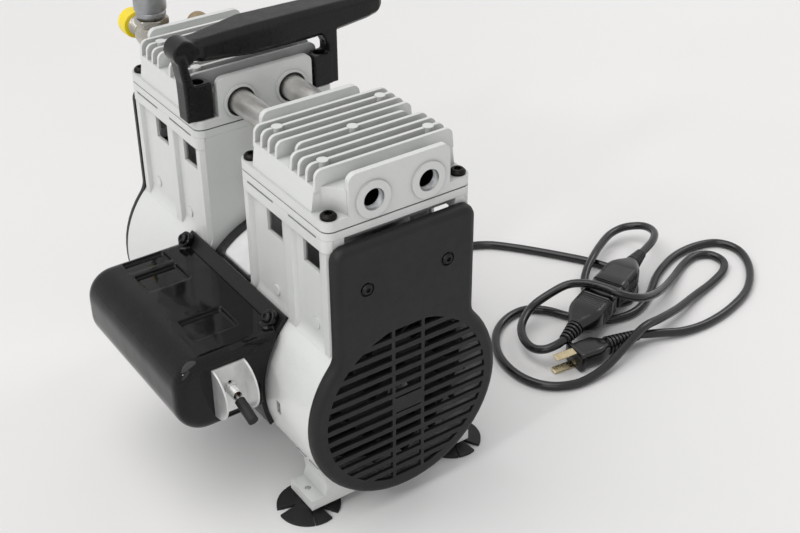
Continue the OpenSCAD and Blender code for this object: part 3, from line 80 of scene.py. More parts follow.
class Graph:
    """A material's node tree with short calls for the nodes that are used here."""

    def __init__(self, name):
        self.material = bpy.data.materials.new(name)
        self.material.use_nodes = True
        self.tree = self.material.node_tree
        self.shader = self.tree.nodes["Principled BSDF"]
        self.coords = self.node("ShaderNodeTexCoord").outputs["Object"]

    def node(self, kind, **values):
        made = self.tree.nodes.new(kind)
        for key, value in values.items():
            setattr(made, key, value)
        return made

    def link(self, out, into):
        self.tree.links.new(out, into)

    def scaled(self, stretch):
        mapping = self.node("ShaderNodeMapping")
        mapping.inputs["Scale"].default_value = stretch
        self.link(self.coords, mapping.inputs["Vector"])
        return mapping.outputs["Vector"]

    def noise(self, scale, detail, rough=0.55, stretch=None):
        made = self.node("ShaderNodeTexNoise")
        made.inputs["Scale"].default_value = scale
        made.inputs["Detail"].default_value = detail
        made.inputs["Roughness"].default_value = rough
        self.link(self.scaled(stretch) if stretch else self.coords, made.inputs["Vector"])
        return made.outputs["Fac"]

    def spots(self, scale):
        made = self.node("ShaderNodeTexVoronoi")
        made.inputs["Scale"].default_value = scale
        self.link(self.coords, made.inputs["Vector"])
        return made.outputs["Distance"]

    def ranged(self, value, low, high, to_low, to_high):
        made = self.node("ShaderNodeMapRange")
        for key, number in (("From Min", low), ("From Max", high), ("To Min", to_low), ("To Max", to_high)):
            made.inputs[key].default_value = number
        self.link(value, made.inputs["Value"])
        return made.outputs["Result"]

    def mixed(self, mask, first, second):
        made = self.node("ShaderNodeMix", data_type="RGBA")
        for index, value in ((0, mask), (6, first), (7, second)):
            feed(self.tree, made.inputs[index], value)
        return made.outputs[2]

    def times(self, first, second):
        made = self.node("ShaderNodeMath", operation="MULTIPLY")
        for socket, value in zip(made.inputs, (first, second)):
            self.link(value, socket)
        return made.outputs[0]

    def edges(self, radius):
        """Mask of the edges, from the cosine of the rounded normal's lean from the flat one."""
        bevel = self.node("ShaderNodeBevel", samples=4)
        bevel.inputs["Radius"].default_value = radius
        flat = self.node("ShaderNodeNewGeometry")
        dot = self.node("ShaderNodeVectorMath", operation="DOT_PRODUCT")
        self.link(bevel.outputs["Normal"], dot.inputs[0])
        self.link(flat.outputs["Normal"], dot.inputs[1])
        return self.ranged(dot.outputs["Value"], 0.998, 0.94, 0.0, 1.0)

    # Ambient occlusion of the surface, used to paint shade into corners and recesses.
    def occlusion_shade(self, distance):
        made = self.node("ShaderNodeAmbientOcclusion", samples=6)
        made.inputs["Distance"].default_value = distance
        return made.outputs["AO"]

    def finish(self, color, rough, metal=0.0, bumps=(), round_off=0.0, **sockets):
        """color and rough are values or sockets; bumps holds pairs of a height socket and metres."""
        inputs = self.shader.inputs
        feed(self.tree, inputs["Base Color"], color)
        feed(self.tree, inputs["Roughness"], rough)
        inputs["Metallic"].default_value = metal
        for key, value in sockets.items():
            inputs[key.replace("_", " ")].default_value = value
        normal = None
        if round_off:
            bevel = self.node("ShaderNodeBevel", samples=6)
            bevel.inputs["Radius"].default_value = round_off
            normal = bevel.outputs["Normal"]
        for height, distance in bumps:
            bump = self.node("ShaderNodeBump")
            bump.inputs["Strength"].default_value = 1.0
            bump.inputs["Distance"].default_value = distance
            self.link(height, bump.inputs["Height"])
            if normal:
                self.link(normal, bump.inputs["Normal"])
            normal = bump.outputs["Normal"]
        if normal:
            self.link(normal, inputs["Normal"])
        return self.material


def cast_enamel(name, base):
    """Enamel over a casting: slightly uneven, with painted shade darkening its corners and with a few flecks.
    """
    g = Graph(name)
    cloudy = g.ranged(g.noise(22, 4), 0.3, 0.7, 0.0, 1.0)
    color = g.mixed(cloudy, tuple(0.97 * c for c in base), base)
    # Painted shade: the colour darkens towards a much darker enamel where ambient occlusion finds corners and
    # recesses.
    corner_shade = g.ranged(g.occlusion_shade(0.008), 0.3, 0.95, 0.7, 0.0)
    color = g.mixed(corner_shade, color, tuple(0.42 * c for c in base))
    fleck = g.ranged(g.spots(210), 0.045, 0.03, 0.0, 0.5)
    flecked = g.ranged(g.noise(60, 2), 0.52, 0.6, 0.0, 1.0)
    color = g.mixed(g.times(fleck, flecked), color, (0.16, 0.15, 0.14))
    rough = g.ranged(g.noise(120, 3), 0.3, 0.7, 0.3, 0.44)
    return g.finish(color, rough, bumps=((g.noise(520, 3), 0.00016), (g.noise(90, 3), 0.0003)),
                    round_off=0.0007, Coat_Weight=0.4, Coat_Roughness=0.14)


def grained(name, base, rough, grain=900, depth=0.00012, worn=0.0, coat=0.0, shine=0.5):
    """Moulded plastic or rubber with a fine grain, paler where it is worn."""
    g = Graph(name)
    cloudy = g.ranged(g.noise(35, 4), 0.3, 0.7, 0.0, 1.0)
    color = g.mixed(cloudy, tuple(0.85 * c for c in base), tuple(min(1.0, 1.15 * c) for c in base))
    if worn:
        rub = g.times(g.edges(0.0009), g.ranged(g.noise(150, 3), 0.42, 0.65, 0.0, worn))
        color = g.mixed(rub, color, tuple(min(1.0, c + 0.09) for c in base))
    roughness = g.ranged(g.noise(160, 4), 0.3, 0.7, rough - 0.06, rough + 0.07)
    return g.finish(color, roughness, bumps=((g.spots(grain), depth), (g.noise(70, 2), 0.0002)),
                    round_off=0.0005, Coat_Weight=coat, Coat_Roughness=0.12, Specular_IOR_Level=shine)


def glossy_black(name, base):
    """Polished black plastic, smeared by hands and with a little dust."""
    g = Graph(name)
    smear = g.ranged(g.noise(28, 5, 0.6, (1.0, 0.35, 1.0)), 0.45, 0.75, 0.0, 1.0)
    dust = g.ranged(g.noise(1500, 2, 0.7), 0.66, 0.72, 0.0, 0.35)
    color = g.mixed(dust, base, (0.22, 0.22, 0.23))
    rough = g.ranged(smear, 0.0, 1.0, 0.06, 0.14)
    return g.finish(color, rough, bumps=((g.noise(24, 2), 0.0008), (g.noise(260, 2), 0.00004)),
                    round_off=0.001, Specular_IOR_Level=0.24)


def metal(name, base, rough, stretch=(1.0, 1.0, 1.0), lines=500, depth=0.00005, stain=0.15, shine=1.0):
    """Metal with fine scratches, which the stretch draws out, and darker stained patches."""
    g = Graph(name)
    patch = g.ranged(g.noise(70, 4), 0.35, 0.7, 0.0, 1.0)
    color = g.mixed(patch, base, tuple((1.0 - stain) * c for c in base))
    scratch = g.noise(lines, 4, 0.65, stretch)
    roughness = g.ranged(scratch, 0.3, 0.7, rough - 0.08, rough + 0.1)
    return g.finish(color, roughness, metal=shine, bumps=((scratch, depth),), round_off=0.0003)


MATERIALS = {
    "cast_enamel": cast_enamel("cast_enamel", (0.71, 0.725, 0.71)),
    "plate_metal": metal("plate_metal", (0.62, 0.63, 0.64), 0.42, (1.0, 1.0, 8.0)),
    "guard_black": grained("guard_black", (0.016, 0.016, 0.016), 0.46, 1100, 0.00008, worn=0.4, shine=0.24),
    "screw_dark": metal("screw_dark", (0.024, 0.022, 0.020), 0.38, stain=0.4),
    "screw_black": metal("screw_black", (0.035, 0.035, 0.036), 0.38, stain=0.3),
    "gasket": grained("gasket", (0.05, 0.05, 0.05), 0.8),
    "spring_steel": metal("spring_steel", (0.55, 0.55, 0.57), 0.3),
    "tube_metal": metal("tube_metal", (0.80, 0.785, 0.76), 0.4, (9.0, 0.6, 9.0), 260, 0.00006, 0.3),
    "black_rubber": grained("black_rubber", (0.013, 0.013, 0.013), 0.62, 700, 0.0001, shine=0.3),
    "motor_black": grained("motor_black", (0.012, 0.012, 0.013), 0.28, 500, 0.00005, coat=0.3),
    "label_white": grained("label_white", (0.72, 0.73, 0.73), 0.42, 1200, 0.00002),
    "core_steel": metal("core_steel", (0.30, 0.30, 0.31), 0.5, (1.0, 30.0, 1.0), 60, 0.0002),
    "winding": grained("winding", (0.30, 0.10, 0.03), 0.35, 400, 0.0003),
    "bearing_steel": metal("bearing_steel", (0.66, 0.66, 0.67), 0.2),
    "shaft_steel": metal("shaft_steel", (0.55, 0.55, 0.56), 0.3, (8.0, 0.6, 8.0)),
    "fan_black": grained("fan_black", (0.018, 0.018, 0.019), 0.6, 700, 0.0001, shine=0.25),
    "rod_metal": metal("rod_metal", (0.55, 0.56, 0.57), 0.5, lines=260, depth=0.0002),
    "cup_seal": grained("cup_seal", (0.10, 0.06, 0.035), 0.5),
    "handle_black": grained("handle_black", (0.008, 0.008, 0.008), 0.28, 900, 0.00004, worn=0.6, shine=0.25),
    "box_black": glossy_black("box_black", (0.004, 0.004, 0.004)),
    "saddle_black": grained("saddle_black", (0.010, 0.010, 0.010), 0.32, 500, 0.00006, shine=0.22),
    "can_metal": metal("can_metal", (0.5, 0.5, 0.52), 0.35),
    "switch_brown": grained("switch_brown", (0.12, 0.045, 0.025), 0.4),
    "zinc": metal("zinc", (0.78, 0.79, 0.78), 0.36, (1.0, 1.0, 0.5), 180, 0.0002, 0.18, shine=0.72),
    "brass_nickel": metal("brass_nickel", (0.50, 0.48, 0.43), 0.3, stain=0.3),
    "silencer_grey": metal("silencer_grey", (0.42, 0.43, 0.44), 0.34, (9.0, 9.0, 0.6), 240, 0.00008, 0.3),
    "silencer_bronze": metal("silencer_bronze", (0.36, 0.28, 0.18), 0.6, lines=900, depth=0.0004, stain=0.4),
    "cap_yellow": grained("cap_yellow", (0.95, 0.70, 0.015), 0.34, 300, 0.00005, coat=0.2),
    "cord_black": grained("cord_black", (0.006, 0.006, 0.006), 0.2, 800, 0.00002, shine=0.5),
    "blade_brass": metal("blade_brass", (0.62, 0.52, 0.33), 0.24, stain=0.25),
}
SLOTS = {part["node"]: part["material_slot"] for part in frame["record"]["subparts"]}
BODY = {}
for body_name, members in frame["record"]["behaviour"]["bodies"].items():
    for member in members:
        BODY[member] = body_name
stood_for = set()  # CAD nodes that pieces of this scene stand for


def dress(obj, slot, body="pump", replaces=()):
    """Material, slot and body of a piece, and the CAD nodes that it stands for."""
    obj.data.materials.clear()
    obj.data.materials.append(MATERIALS[slot])
    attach(obj, body)
    for node_name in replaces:
        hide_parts(node_name)
        stood_for.add(node_name)


def link_mesh(name, mesh):
    obj = bpy.data.objects.new(name, mesh)
    bpy.context.scene.collection.objects.link(obj)
    return obj


# Cords

CORD_R = 3.2
SHAFT_Z = 78.7
MOTOR_Y = 123.0
RELIEF_AT = (63.0, MOTOR_Y, SHAFT_Z)  # on the motor shell's right side
RELIEF_LEN = 36.0
GLAND_TIP = (RELIEF_AT[0] + RELIEF_LEN, MOTOR_Y, SHAFT_Z)
CONNECTOR_AT = Vector((238.0, 73.5, 19.0))
CONNECTOR_TURN = math.radians(21.8)
CONNECTOR_TILT = math.radians(2.3)
CONNECTOR_DIR = Vector((math.cos(CONNECTOR_TURN) * math.cos(CONNECTOR_TILT),
                        math.sin(CONNECTOR_TURN) * math.cos(CONNECTOR_TILT), math.sin(CONNECTOR_TILT)))
CONNECTOR_REACH = 65.0
PLUG_TIP = (234.6, 31.8, 7.8)
# Lowest points of the two leads on their way
CAPTIVE_ROUTE = ((116, 126, 72), (131, 132, 60), (142, 143, 45), (152, 157, 29), (162, 173, 14),
                 (174, 189, 4), (190, 203, 0), (208, 209, 0), (226, 201, 0), (241, 185, 0), (254, 168, 0),
                 (266, 151, 0), (277, 134, 0), (285, 116, 0), (287, 98, 0), (280, 83, 0), (266, 74, 0),
                 (252, 78, 0), (244, 91, 0), (248, 106, 1), (260, 118, 5), (276, 128, 8), (293, 138, 8),
                 (311, 146, 8), (327, 146, 9), (337, 135, 12), (334, 120, 15), (321, 108, 17))
POWER_ROUTE = ((170, 49, 12), (161, 52, 10), (157, 61, 8), (160, 75, 8), (170, 88, 9), (187, 97, 12),
               (203, 96, 18), (216, 91, 24), (224, 80, 28), (229, 66, 30), (236, 54, 28), (249, 48, 23),
               (269, 53, 15), (293, 64, 7), (316, 76, 2), (336, 86, 0), (353, 90, 0), (365, 84, 0),
               (366, 71, 0), (355, 61, 0), (335, 54, 0), (309, 47, 2), (282, 38, 6), (257, 31, 11),
               (235, 27, 14), (213, 22, 9), (189, 17, 3), (165, 17, 0), (147, 25, 0), (137, 40, 0),
               (135, 60, 0), (141, 81, 0), (155, 99, 0), (173, 109, 0), (191, 110, 0), (204, 100, 0),
               (213, 84, 0), (224, 70, 0), (240, 61, 0), (260, 60, 0), (283, 70, 0), (308, 87, 0),
               (337, 99, 0), (363, 101, 0), (383, 94, 0), (389, 76, 0), (377, 53, 0), (352, 32, 0),
               (322, 21, 0), (293, 17, 0), (270, 19, 1), (252, 25, 3))


def smooth_line(points, steps=5):
    """Points on a smooth line through the given ones."""
    line = []
    last = len(points) - 1
    for i in range(last):
        before, start, end, after = points[max(i - 1, 0)], points[i], points[i + 1], points[min(i + 2, last)]
        for k in range(steps):
            t = k / steps
            line.append(0.5 * (2 * start + (end - before) * t
                               + (2 * before - 5 * start + 4 * end - after) * t * t
                               + (3 * start - before - 3 * end + after) * t ** 3))
    line.append(points[-1])
    return line


def cord(name, start, route, end, replaced):
    """Curve of one open spline through a route of the cord's lowest points, and its length."""
    points = [at(*start)] + [at(x, y, z + CORD_R) for x, y, z in route] + [at(*end)]
    line = [Vector((p.x, p.y, max(p.z, CORD_R * MM))) for p in smooth_line(points)]
    data = bpy.data.curves.new(name, "CURVE")
    data.dimensions = "3D"
    data.bevel_depth = CORD_R * MM
    data.bevel_resolution = 6
    data.use_fill_caps = True
    spline = data.splines.new("POLY")
    spline.points.add(len(line) - 1)
    for point, place in zip(spline.points, line):
        point.co = (*place, 1.0)
    spline.use_smooth = True
    obj = bpy.data.objects.new(name, data)
    bpy.context.scene.collection.objects.link(obj)
    dress(obj, "cord_black", "pump", (replaced,))
    return obj, sum((b - a).length for a, b in zip(line, line[1:]))


captive_end = CONNECTOR_AT + CONNECTOR_DIR * CONNECTOR_REACH
power_start = CONNECTOR_AT - CONNECTOR_DIR * CONNECTOR_REACH
captive, captive_length = cord("captive_lead", GLAND_TIP, CAPTIVE_ROUTE, captive_end, "captive_cord")
power, power_length = cord("power_lead", power_start, POWER_ROUTE, PLUG_TIP, "power_cord")

# Carried nodes

MERGE_DISTANCE = 0.000004  # metres
FLAT_ANGLE = math.radians(0.6)
EDGE_ANGLE = math.radians(32)


def rounded(node_name, width):
    """A copy of a CAD node with its edges rounded by real geometry, which stands for the node."""
    mesh = nodes[node_name].data.copy()
    obj = link_mesh(node_name + "_rounded", mesh)
    work = bmesh.new()
    work.from_mesh(mesh)
    bmesh.ops.remove_doubles(work, verts=work.verts, dist=MERGE_DISTANCE)
    bmesh.ops.dissolve_limit(work, angle_limit=FLAT_ANGLE, verts=work.verts, edges=work.edges)
    work.to_mesh(mesh)
    work.free()
    if mesh.attributes.get("custom_normal"):
        mesh.attributes.remove(mesh.attributes["custom_normal"])
    bevel = obj.modifiers.new("edges", "BEVEL")
    bevel.width = width * MM
    bevel.segments = 2
    bevel.limit_method = "ANGLE"
    bevel.angle_limit = EDGE_ANGLE
    bevel.use_clamp_overlap = True
    for polygon in mesh.polygons:
        polygon.use_smooth = True
    weigh = obj.modifiers.new("normals", "WEIGHTED_NORMAL")
    weigh.keep_sharp = True
    dress(obj, SLOTS[node_name], BODY[node_name], (node_name,))


# Width of the rounding in millimetres
ROUNDED = {"front_head": 0.5, "rear_head": 0.5, "front_housing": 0.5, "rear_housing": 0.5,
           "front_guard": 0.25, "rear_guard": 0.25, "box_saddle": 0.4, "suction_feet": 0.35,
           "switch_guard": 0.25, "switch_nut": 0.3, "head_screws": 0.3, "guard_screws": 0.2,
           "box_screws": 0.2, "front_valve_plate": 0.4, "rear_valve_plate": 0.4, "plug_blades": 0.25,
           "transfer_tubes": 0.2, "head_gaskets": 0.1}

# Moulded pieces

VOXEL = 0.7  # millimetres


def shaded(mesh, angle=34):
    """Smooth shading with sharp edges above an angle."""
    for polygon in mesh.polygons:
        polygon.use_smooth = True
    mesh.set_sharp_from_angle(angle=math.radians(angle))


def joined(name, meshes):
    """One object of several meshes."""
    work = bmesh.new()
    for mesh in meshes:
        work.from_mesh(mesh)
    result = bpy.data.meshes.new(name)
    work.to_mesh(result)
    work.free()
    return link_mesh(name, result)


def moulded(name, parts, cutters, rounds, slot, replaces, keep=1.0):
    """Solids joined by a remesh and smoothed, so that edges turn soft like a moulding's, then cut."""
    obj = joined(name, parts)
    remesh = obj.modifiers.new("union", "REMESH")
    remesh.mode = "VOXEL"
    remesh.voxel_size = VOXEL * MM
    smooth = obj.modifiers.new("smooth", "SMOOTH")
    smooth.factor = 0.5
    smooth.iterations = rounds
    made = [obj]
    if cutters:
        tool = joined(name + "_cut", cutters)
        cut = obj.modifiers.new("cut", "BOOLEAN")
        cut.operation = "DIFFERENCE"
        cut.solver = "EXACT"
        cut.object = tool
        made.append(tool)
    if keep < 1.0:
        thin = obj.modifiers.new("thin", "DECIMATE")
        thin.ratio = keep
    graph = bpy.context.evaluated_depsgraph_get()
    final = bpy.data.meshes.new_from_object(obj.evaluated_get(graph))
    for old in made:
        bpy.data.objects.remove(old)
    final.name = name
    shaded(final, 40)
    dress(link_mesh(name, final), slot, "pump", replaces)


def hull_mesh(points):
    """Convex solid round points given in pump millimetres."""
    work = bmesh.new()
    for point in points:
        work.verts.new(at(*point))
    bmesh.ops.convex_hull(work, input=work.verts)
    loose = [v for v in work.verts if not v.link_faces]
    bmesh.ops.delete(work, geom=loose, context="VERTS")
    bmesh.ops.recalc_face_normals(work, faces=work.faces)
    mesh = bpy.data.meshes.new("hull")
    work.to_mesh(mesh)
    work.free()
    return mesh


def rod(start, end, r, steps=32):
    """Points on the two rims of a round bar along Y or Z."""
    along_y = start[1] != end[1]
    made = []
    for x, y, z in (start, end):
        for i in range(steps):
            a, b = r * math.cos(2 * math.pi * i / steps), r * math.sin(2 * math.pi * i / steps)
            made.append((x + a, y, z + b) if along_y else (x + a, y + b, z))
    return made


def upright(outline, *heights):
    """Points of an outline in X and Y at some heights."""
    return [(x, y, z) for x, y in outline for z in heights]


def drawn_back(outline):
    """Points of an outline in X and Z at the front and the back of the handle's legs."""
    return [(x, y, z) for x, z in outline for y in (LEG_FRONT, LEG_BACK)]


def grip_section(x, y0, y1, z0, z1):
    """Section of the grip at x, with bevelled corners."""
    b = GRIP_BEVEL
    return [(x, y, z) for y, z in ((y0 + b, z0), (y1 - b, z0), (y1, z0 + b), (y1, z1 - b),
                                   (y1 - b, z1), (y0 + b, z1), (y0, z1 - b), (y0, z0 + b))]


# Handle: bevelled grip, its left end rolled over a leaning leg, and feet in the rear head's front corners
GRIP_BEVEL = 3.4
GRIP = ((-46, 152.5, 167.5, 255.0, 268.6), (-40, 150, 168, 253.6, 268.6), (-22, 150, 172, 251.8, 269.4),
        (-5, 150, 176.5, 249.8, 269.8), (40, 150, 174.6, 249.9, 269.8), (60, 150, 172.4, 251.4, 269.8),
        (80, 150.4, 170, 253.4, 269.6), (88, 151.4, 168.4, 254.8, 269.0), (91.4, 153.6, 166, 257.4, 266.8))
ROLL_X, ROLL_Z = -51.5, 262.2
LEG_FRONT, LEG_BACK = 150, 162.3
LEFT_LEG = ((-57.6, -52.6, 261.0), (-56.4, -50.4, 250.5), (-55.2, -48.6, 243.0), (-54.9, -48.0, 232.0),
            (-54.9, -48.0, 217.0))
RIGHT_LEG = (48.2, 54.8)
FOOT_Z, FOOT_FRONT, FOOT_INNER = 217.0, 149.7, 36.6
RECESS_X, RECESS_Y, RECESS_R = 50.0, 149.0, 15.4
# Hole of a foot's screw: depth, heights and radius of the head's seat, of the way down to it and of the shank
SCREW_X = 43.8
SCREW_HOLE = ((155.2, 220.8, 224.6, 4.95), (155.8, 224.0, 246.0, 4.2), (155.2, 214.0, 222.0, 3.2))

solids = [hull_mesh(grip_section(*a) + grip_section(*b)) for a, b in zip(GRIP, GRIP[1:])]
solids.append(hull_mesh(rod((ROLL_X, 151, ROLL_Z), (ROLL_X, 165.5, ROLL_Z), 8.0)))
solids.append(hull_mesh(rod((ROLL_X, 153, ROLL_Z), (ROLL_X, 164.5, ROLL_Z), 7.0)
                        + upright(((-42, 152.5), (-42, 165)), 255.5, 268)))
for (a0, a1, az), (b0, b1, bz) in zip(LEFT_LEG, LEFT_LEG[1:]):
    solids.append(hull_mesh(drawn_back(((a0, az), (a1, az), (b0, bz), (b1, bz)))))
inner, outer = RIGHT_LEG
solids.append(hull_mesh(upright([(x, y) for x in RIGHT_LEG for y in (LEG_FRONT, LEG_BACK)], FOOT_Z, 256)))
solids.append(hull_mesh(drawn_back(((44, 252), (outer, 252), (inner, 243), (outer, 243)))))
screw_holes = []
for side, foot_top in ((-1, 240.5), (1, 238.0)):
    arc = []
    for t in range(19):
        turn = t * math.pi / 36
        arc.append((side * RECESS_X - side * RECESS_R * math.cos(turn), RECESS_Y + RECESS_R * math.sin(turn)))
    foot = [(x, y) for x, y in arc if FOOT_FRONT <= y <= LEG_BACK and abs(x) >= FOOT_INNER]
    foot += [(side * FOOT_INNER, FOOT_FRONT), (side * RECESS_X, FOOT_FRONT), (side * RECESS_X, LEG_BACK)]
    solids.append(hull_mesh(upright(foot, FOOT_Z, foot_top)))
    for y, low, high, r in SCREW_HOLE:
        screw_holes.append(hull_mesh(rod((side * SCREW_X, y, low), (side * SCREW_X, y, high), r)))
moulded("handle_form", solids, screw_holes, 5, "handle_black", ("handle",))
moulded("box_cover_form", [nodes["box_cover"].data], [], 6, "box_black", ("box_cover",), keep=0.25)

# Turned pieces


def skin(name, work, grid, caps, angle):
    """Mesh over rings of vertices; caps says whether its first and its last ring are closed."""
    steps = len(grid[0])
    for low, high in zip(grid, grid[1:]):
        for i in range(steps):
            work.faces.new((low[i], low[(i + 1) % steps], high[(i + 1) % steps], high[i]))
    if caps[0]:
        work.faces.new(list(reversed(grid[0])))
    if caps[1]:
        work.faces.new(grid[-1])
    bmesh.ops.recalc_face_normals(work, faces=work.faces)
    mesh = bpy.data.meshes.new(name)
    work.to_mesh(mesh)
    work.free()
    shaded(mesh, angle)
    return mesh


ALONG_Y = (0, 1, 0)
UP = (0, 0, 1)
ROWS_PER_PITCH = 6  # of a thread


def turned(name, slot, origin, axis, rows, radius, steps=64, caps=(True, True), body="pump", replaces=(),
           angle=34):
    """Piece round an axis, in pump millimetres; radius(k, turn) is the radius of row k at a turn."""
    axis = Vector(axis).normalized()
    side = Vector((0, 0, 1)) if abs(axis.z) < 0.9 else Vector((1, 0, 0))
    side = (side - axis * side.dot(axis)).normalized()
    across = axis.cross(side)
    work = bmesh.new()
    grid = []
    for k, height in enumerate(rows):
        ring = []
        for i in range(steps):
            turn = 2 * math.pi * i / steps
            spoke = side * math.cos(turn) + across * math.sin(turn)
            ring.append(work.verts.new(at(*(Vector(origin) + axis * height + spoke * radius(k, turn)))))
        grid.append(ring)
    dress(link_mesh(name, skin(name, work, grid, caps, angle)), slot, body, replaces)


def lathe(name, slot, origin, axis, profile, **more):
    """Turned piece from (radius, height) pairs."""
    turned(name, slot, origin, axis, [h for _, h in profile], lambda k, turn: profile[k][0], **more)


def knurled(name, slot, origin, axis, profile, count, depth, **more):
    """Turned piece with ridges along the band between the third and fourth rows of its profile."""

    def radius(k, turn):
        return profile[k][0] - (depth * (0.5 - 0.5 * math.cos(count * turn)) if k in (2, 3) else 0.0)

    turned(name, slot, origin, axis, [h for _, h in profile], radius, **more)


def dome(r, corner, height, parts, first):
    """Rows of a profile that turns in from radius r round a corner, in parts of a right angle."""
    turns = [a * math.pi / (2 * parts) for a in range(first, parts + 1)]
    return [(r - corner + corner * math.cos(turn), height + corner * math.sin(turn)) for turn in turns]


def thread(name, slot, origin, axis, crest, root, pitch, length, **more):
    """Screw thread: its radius runs between root and crest once in a pitch and turns once round."""
    count = round(length / pitch * ROWS_PER_PITCH)
    rows = [length * k / count for k in range(count + 1)]

    def radius(k, turn):
        phase = (rows[k] / pitch + turn / (2 * math.pi)) % 1.0
        return root + (crest - root) * max(0.0, min(1.0, 2.4 * abs(phase - 0.5) - 0.1))

    turned(name, slot, origin, axis, rows, radius, steps=48, **more)


def hexagon(name, slot, origin, axis, across, length, **more):
    """Six-sided nut with chamfered ends, across its flats."""
    r = across / math.sqrt(3)
    rows = [0, 0.5, length - 0.5, length]

    def radius(k, turn):
        flat = across / 2 / math.cos((turn + math.pi / 6) % (math.pi / 3) - math.pi / 6)
        return min(flat, r * (0.93 if k in (0, 3) else 0.99))

    turned(name, slot, origin, axis, rows, radius, steps=96, angle=24, **more)


# Ports: height, distance from the middle, and the back face of the rear head
PORT_Z = 223.4
PORT_X = 18.5
REAR = 246.0
for side_name, x in (("left", -PORT_X), ("right", PORT_X)):
    thread("port_thread_" + side_name, "rod_metal", (x, 0.6, PORT_Z), ALONG_Y, 5.8, 6.6, 1.41, 16.2,
           caps=(False, False))
    lathe("port_mouth_" + side_name, "rod_metal", (x, 0, PORT_Z), ALONG_Y,
          [(6.76, -0.9), (6.7, -0.6), (6.1, 0.7)], caps=(False, False))
    # Painted shade: a black lining with a closed end stands for the shade deep in the bore behind the thread.
    lathe("port_shade_lining_" + side_name, "screw_black", (x, 0, PORT_Z), ALONG_Y,
          [(5.78, 3.4), (5.74, 4.0), (5.7, 11.0), (4.6, 13.2), (2.2, 14.8), (0.3, 15.2)], caps=(False, True))

# The hexagon and the inlet of both rear fittings
HEXAGON_Y = REAR + 1.3
INLET_Y = REAR - 13
INLET = [(6.7, 0), (6.7, 15)]

# Rear left: tee with its hexagon, its riser with the upright silencer, and its capped branch
TEE = {"slot": "brass_nickel", "replaces": ("tee_fitting",)}
TEE_Y = REAR + 26
CAP_Y = REAR + 52
hexagon("tee_hexagon", origin=(-PORT_X, HEXAGON_Y, PORT_Z), axis=ALONG_Y, across=17.4, length=6.6, **TEE)
lathe("tee_body", origin=(-PORT_X, REAR, PORT_Z), axis=ALONG_Y,
      profile=[(7.2, 7.8), (7.2, 9.5), (8.0, 11), (9.0, 14), (9.6, 18), (9.6, 33), (9.0, 36.5), (7.6, 38),
               (7.0, 38.5)], **TEE)
thread("tee_branch", origin=(-PORT_X, REAR + 38, PORT_Z), axis=ALONG_Y, crest=6.8, root=6.1, pitch=1.4,
       length=23.5, **TEE)
lathe("tee_inlet", origin=(-PORT_X, INLET_Y, PORT_Z), axis=ALONG_Y, profile=INLET, **TEE)
lathe("tee_riser", origin=(-PORT_X, TEE_Y, PORT_Z), axis=UP, profile=[(8.6, 0), (8.6, 8.2), (8.0, 9.0)],
      **TEE)
thread("tee_riser_thread", origin=(-PORT_X, TEE_Y, PORT_Z + 8.6), axis=UP, crest=7.9, root=7.1, pitch=1.4,
       length=7.6, **TEE)
hexagon("tee_nut", origin=(-PORT_X, TEE_Y, PORT_Z + 9.8), axis=UP, across=20.6, length=5.0, **TEE)

profile = [(9.4, 0), (10.2, 0.5), (10.4, 1.2), (10.4, 3.4), (10.1, 3.9), (10.9, 4.5), (11.2, 5.4), (11.2, 30)]
profile += dome(11.2, 4.2, 32.6, parts=6, first=1)
knurled("upright_silencer_form", "silencer_grey", (-PORT_X, TEE_Y, PORT_Z + 16.2), UP, profile, 48, 0.16,
        steps=192, replaces=("upright_silencer",))

profile = [(9.2, 0), (9.7, 0.5), (9.9, 1.2), (10.1, 7.4)] + dome(10.1, 2.6, 9.0, parts=6, first=0)
profile += [(2.0, 11.6)]
knurled("branch_cap_form", "cap_yellow", (-PORT_X, CAP_Y, PORT_Z), ALONG_Y, profile, 30, 0.12,
        steps=180, body="cap", replaces=("branch_cap",))

# Rear right: short silencer of sintered bronze
hexagon("short_silencer_hexagon", "brass_nickel", (PORT_X, HEXAGON_Y, PORT_Z), ALONG_Y, 16.9, 6.6,
        replaces=("rear_silencer",))
lathe("short_silencer_inlet", "brass_nickel", (PORT_X, INLET_Y, PORT_Z), ALONG_Y, INLET,
      replaces=("rear_silencer",))
profile = [(7.3, 7.8), (7.6, 8.2), (7.9, 9.2), (8.0, 31)]
profile += dome(8.0, 8.0, 31, parts=8, first=1)[:-1] + [(0.4, 39.0)]
lathe("short_silencer_form", "silencer_bronze", (PORT_X, REAR, PORT_Z), ALONG_Y, profile,
      replaces=("rear_silencer",))

# Foot screws, their heads in the feet and their ends level with the rail blocks
FOOT_X, FOOT_Y = 56, 24
FOOT_SCREW = [(0.8, 0.9), (1.2, 0.1), (3.4, 0), (3.6, 0.3), (3.6, 2.4), (1.68, 2.42), (1.68, 12.7),
              (1.3, 13.1), (0.5, 13.0)]
for number, (x, y) in enumerate((x, y) for y in (FOOT_Y, REAR - FOOT_Y) for x in (-FOOT_X, FOOT_X)):
    lathe("foot_screw_form_%d" % number, "spring_steel", (x, y, 1.2), UP, FOOT_SCREW,
          replaces=("foot_screws",))

# Toggle switch: threaded bush with its lip, and the lever's sleeve, which looks thicker in the photograph
SWITCH = Vector((-93.0, 46.0, 97.0))
thread("bush_thread", "zinc", SWITCH + Vector((0, -9.6, 0)), ALONG_Y, 3.5, 3.22, 0.75, 6.0,
       caps=(False, False))
lathe("bush_lip", "zinc", SWITCH + Vector((0, -10.1, 0)), ALONG_Y,
      [(2.58, 1.6), (2.58, 0.2), (2.7, 0.0), (3.3, 0.0), (3.42, 0.2), (3.42, 0.9)], caps=(False, False))


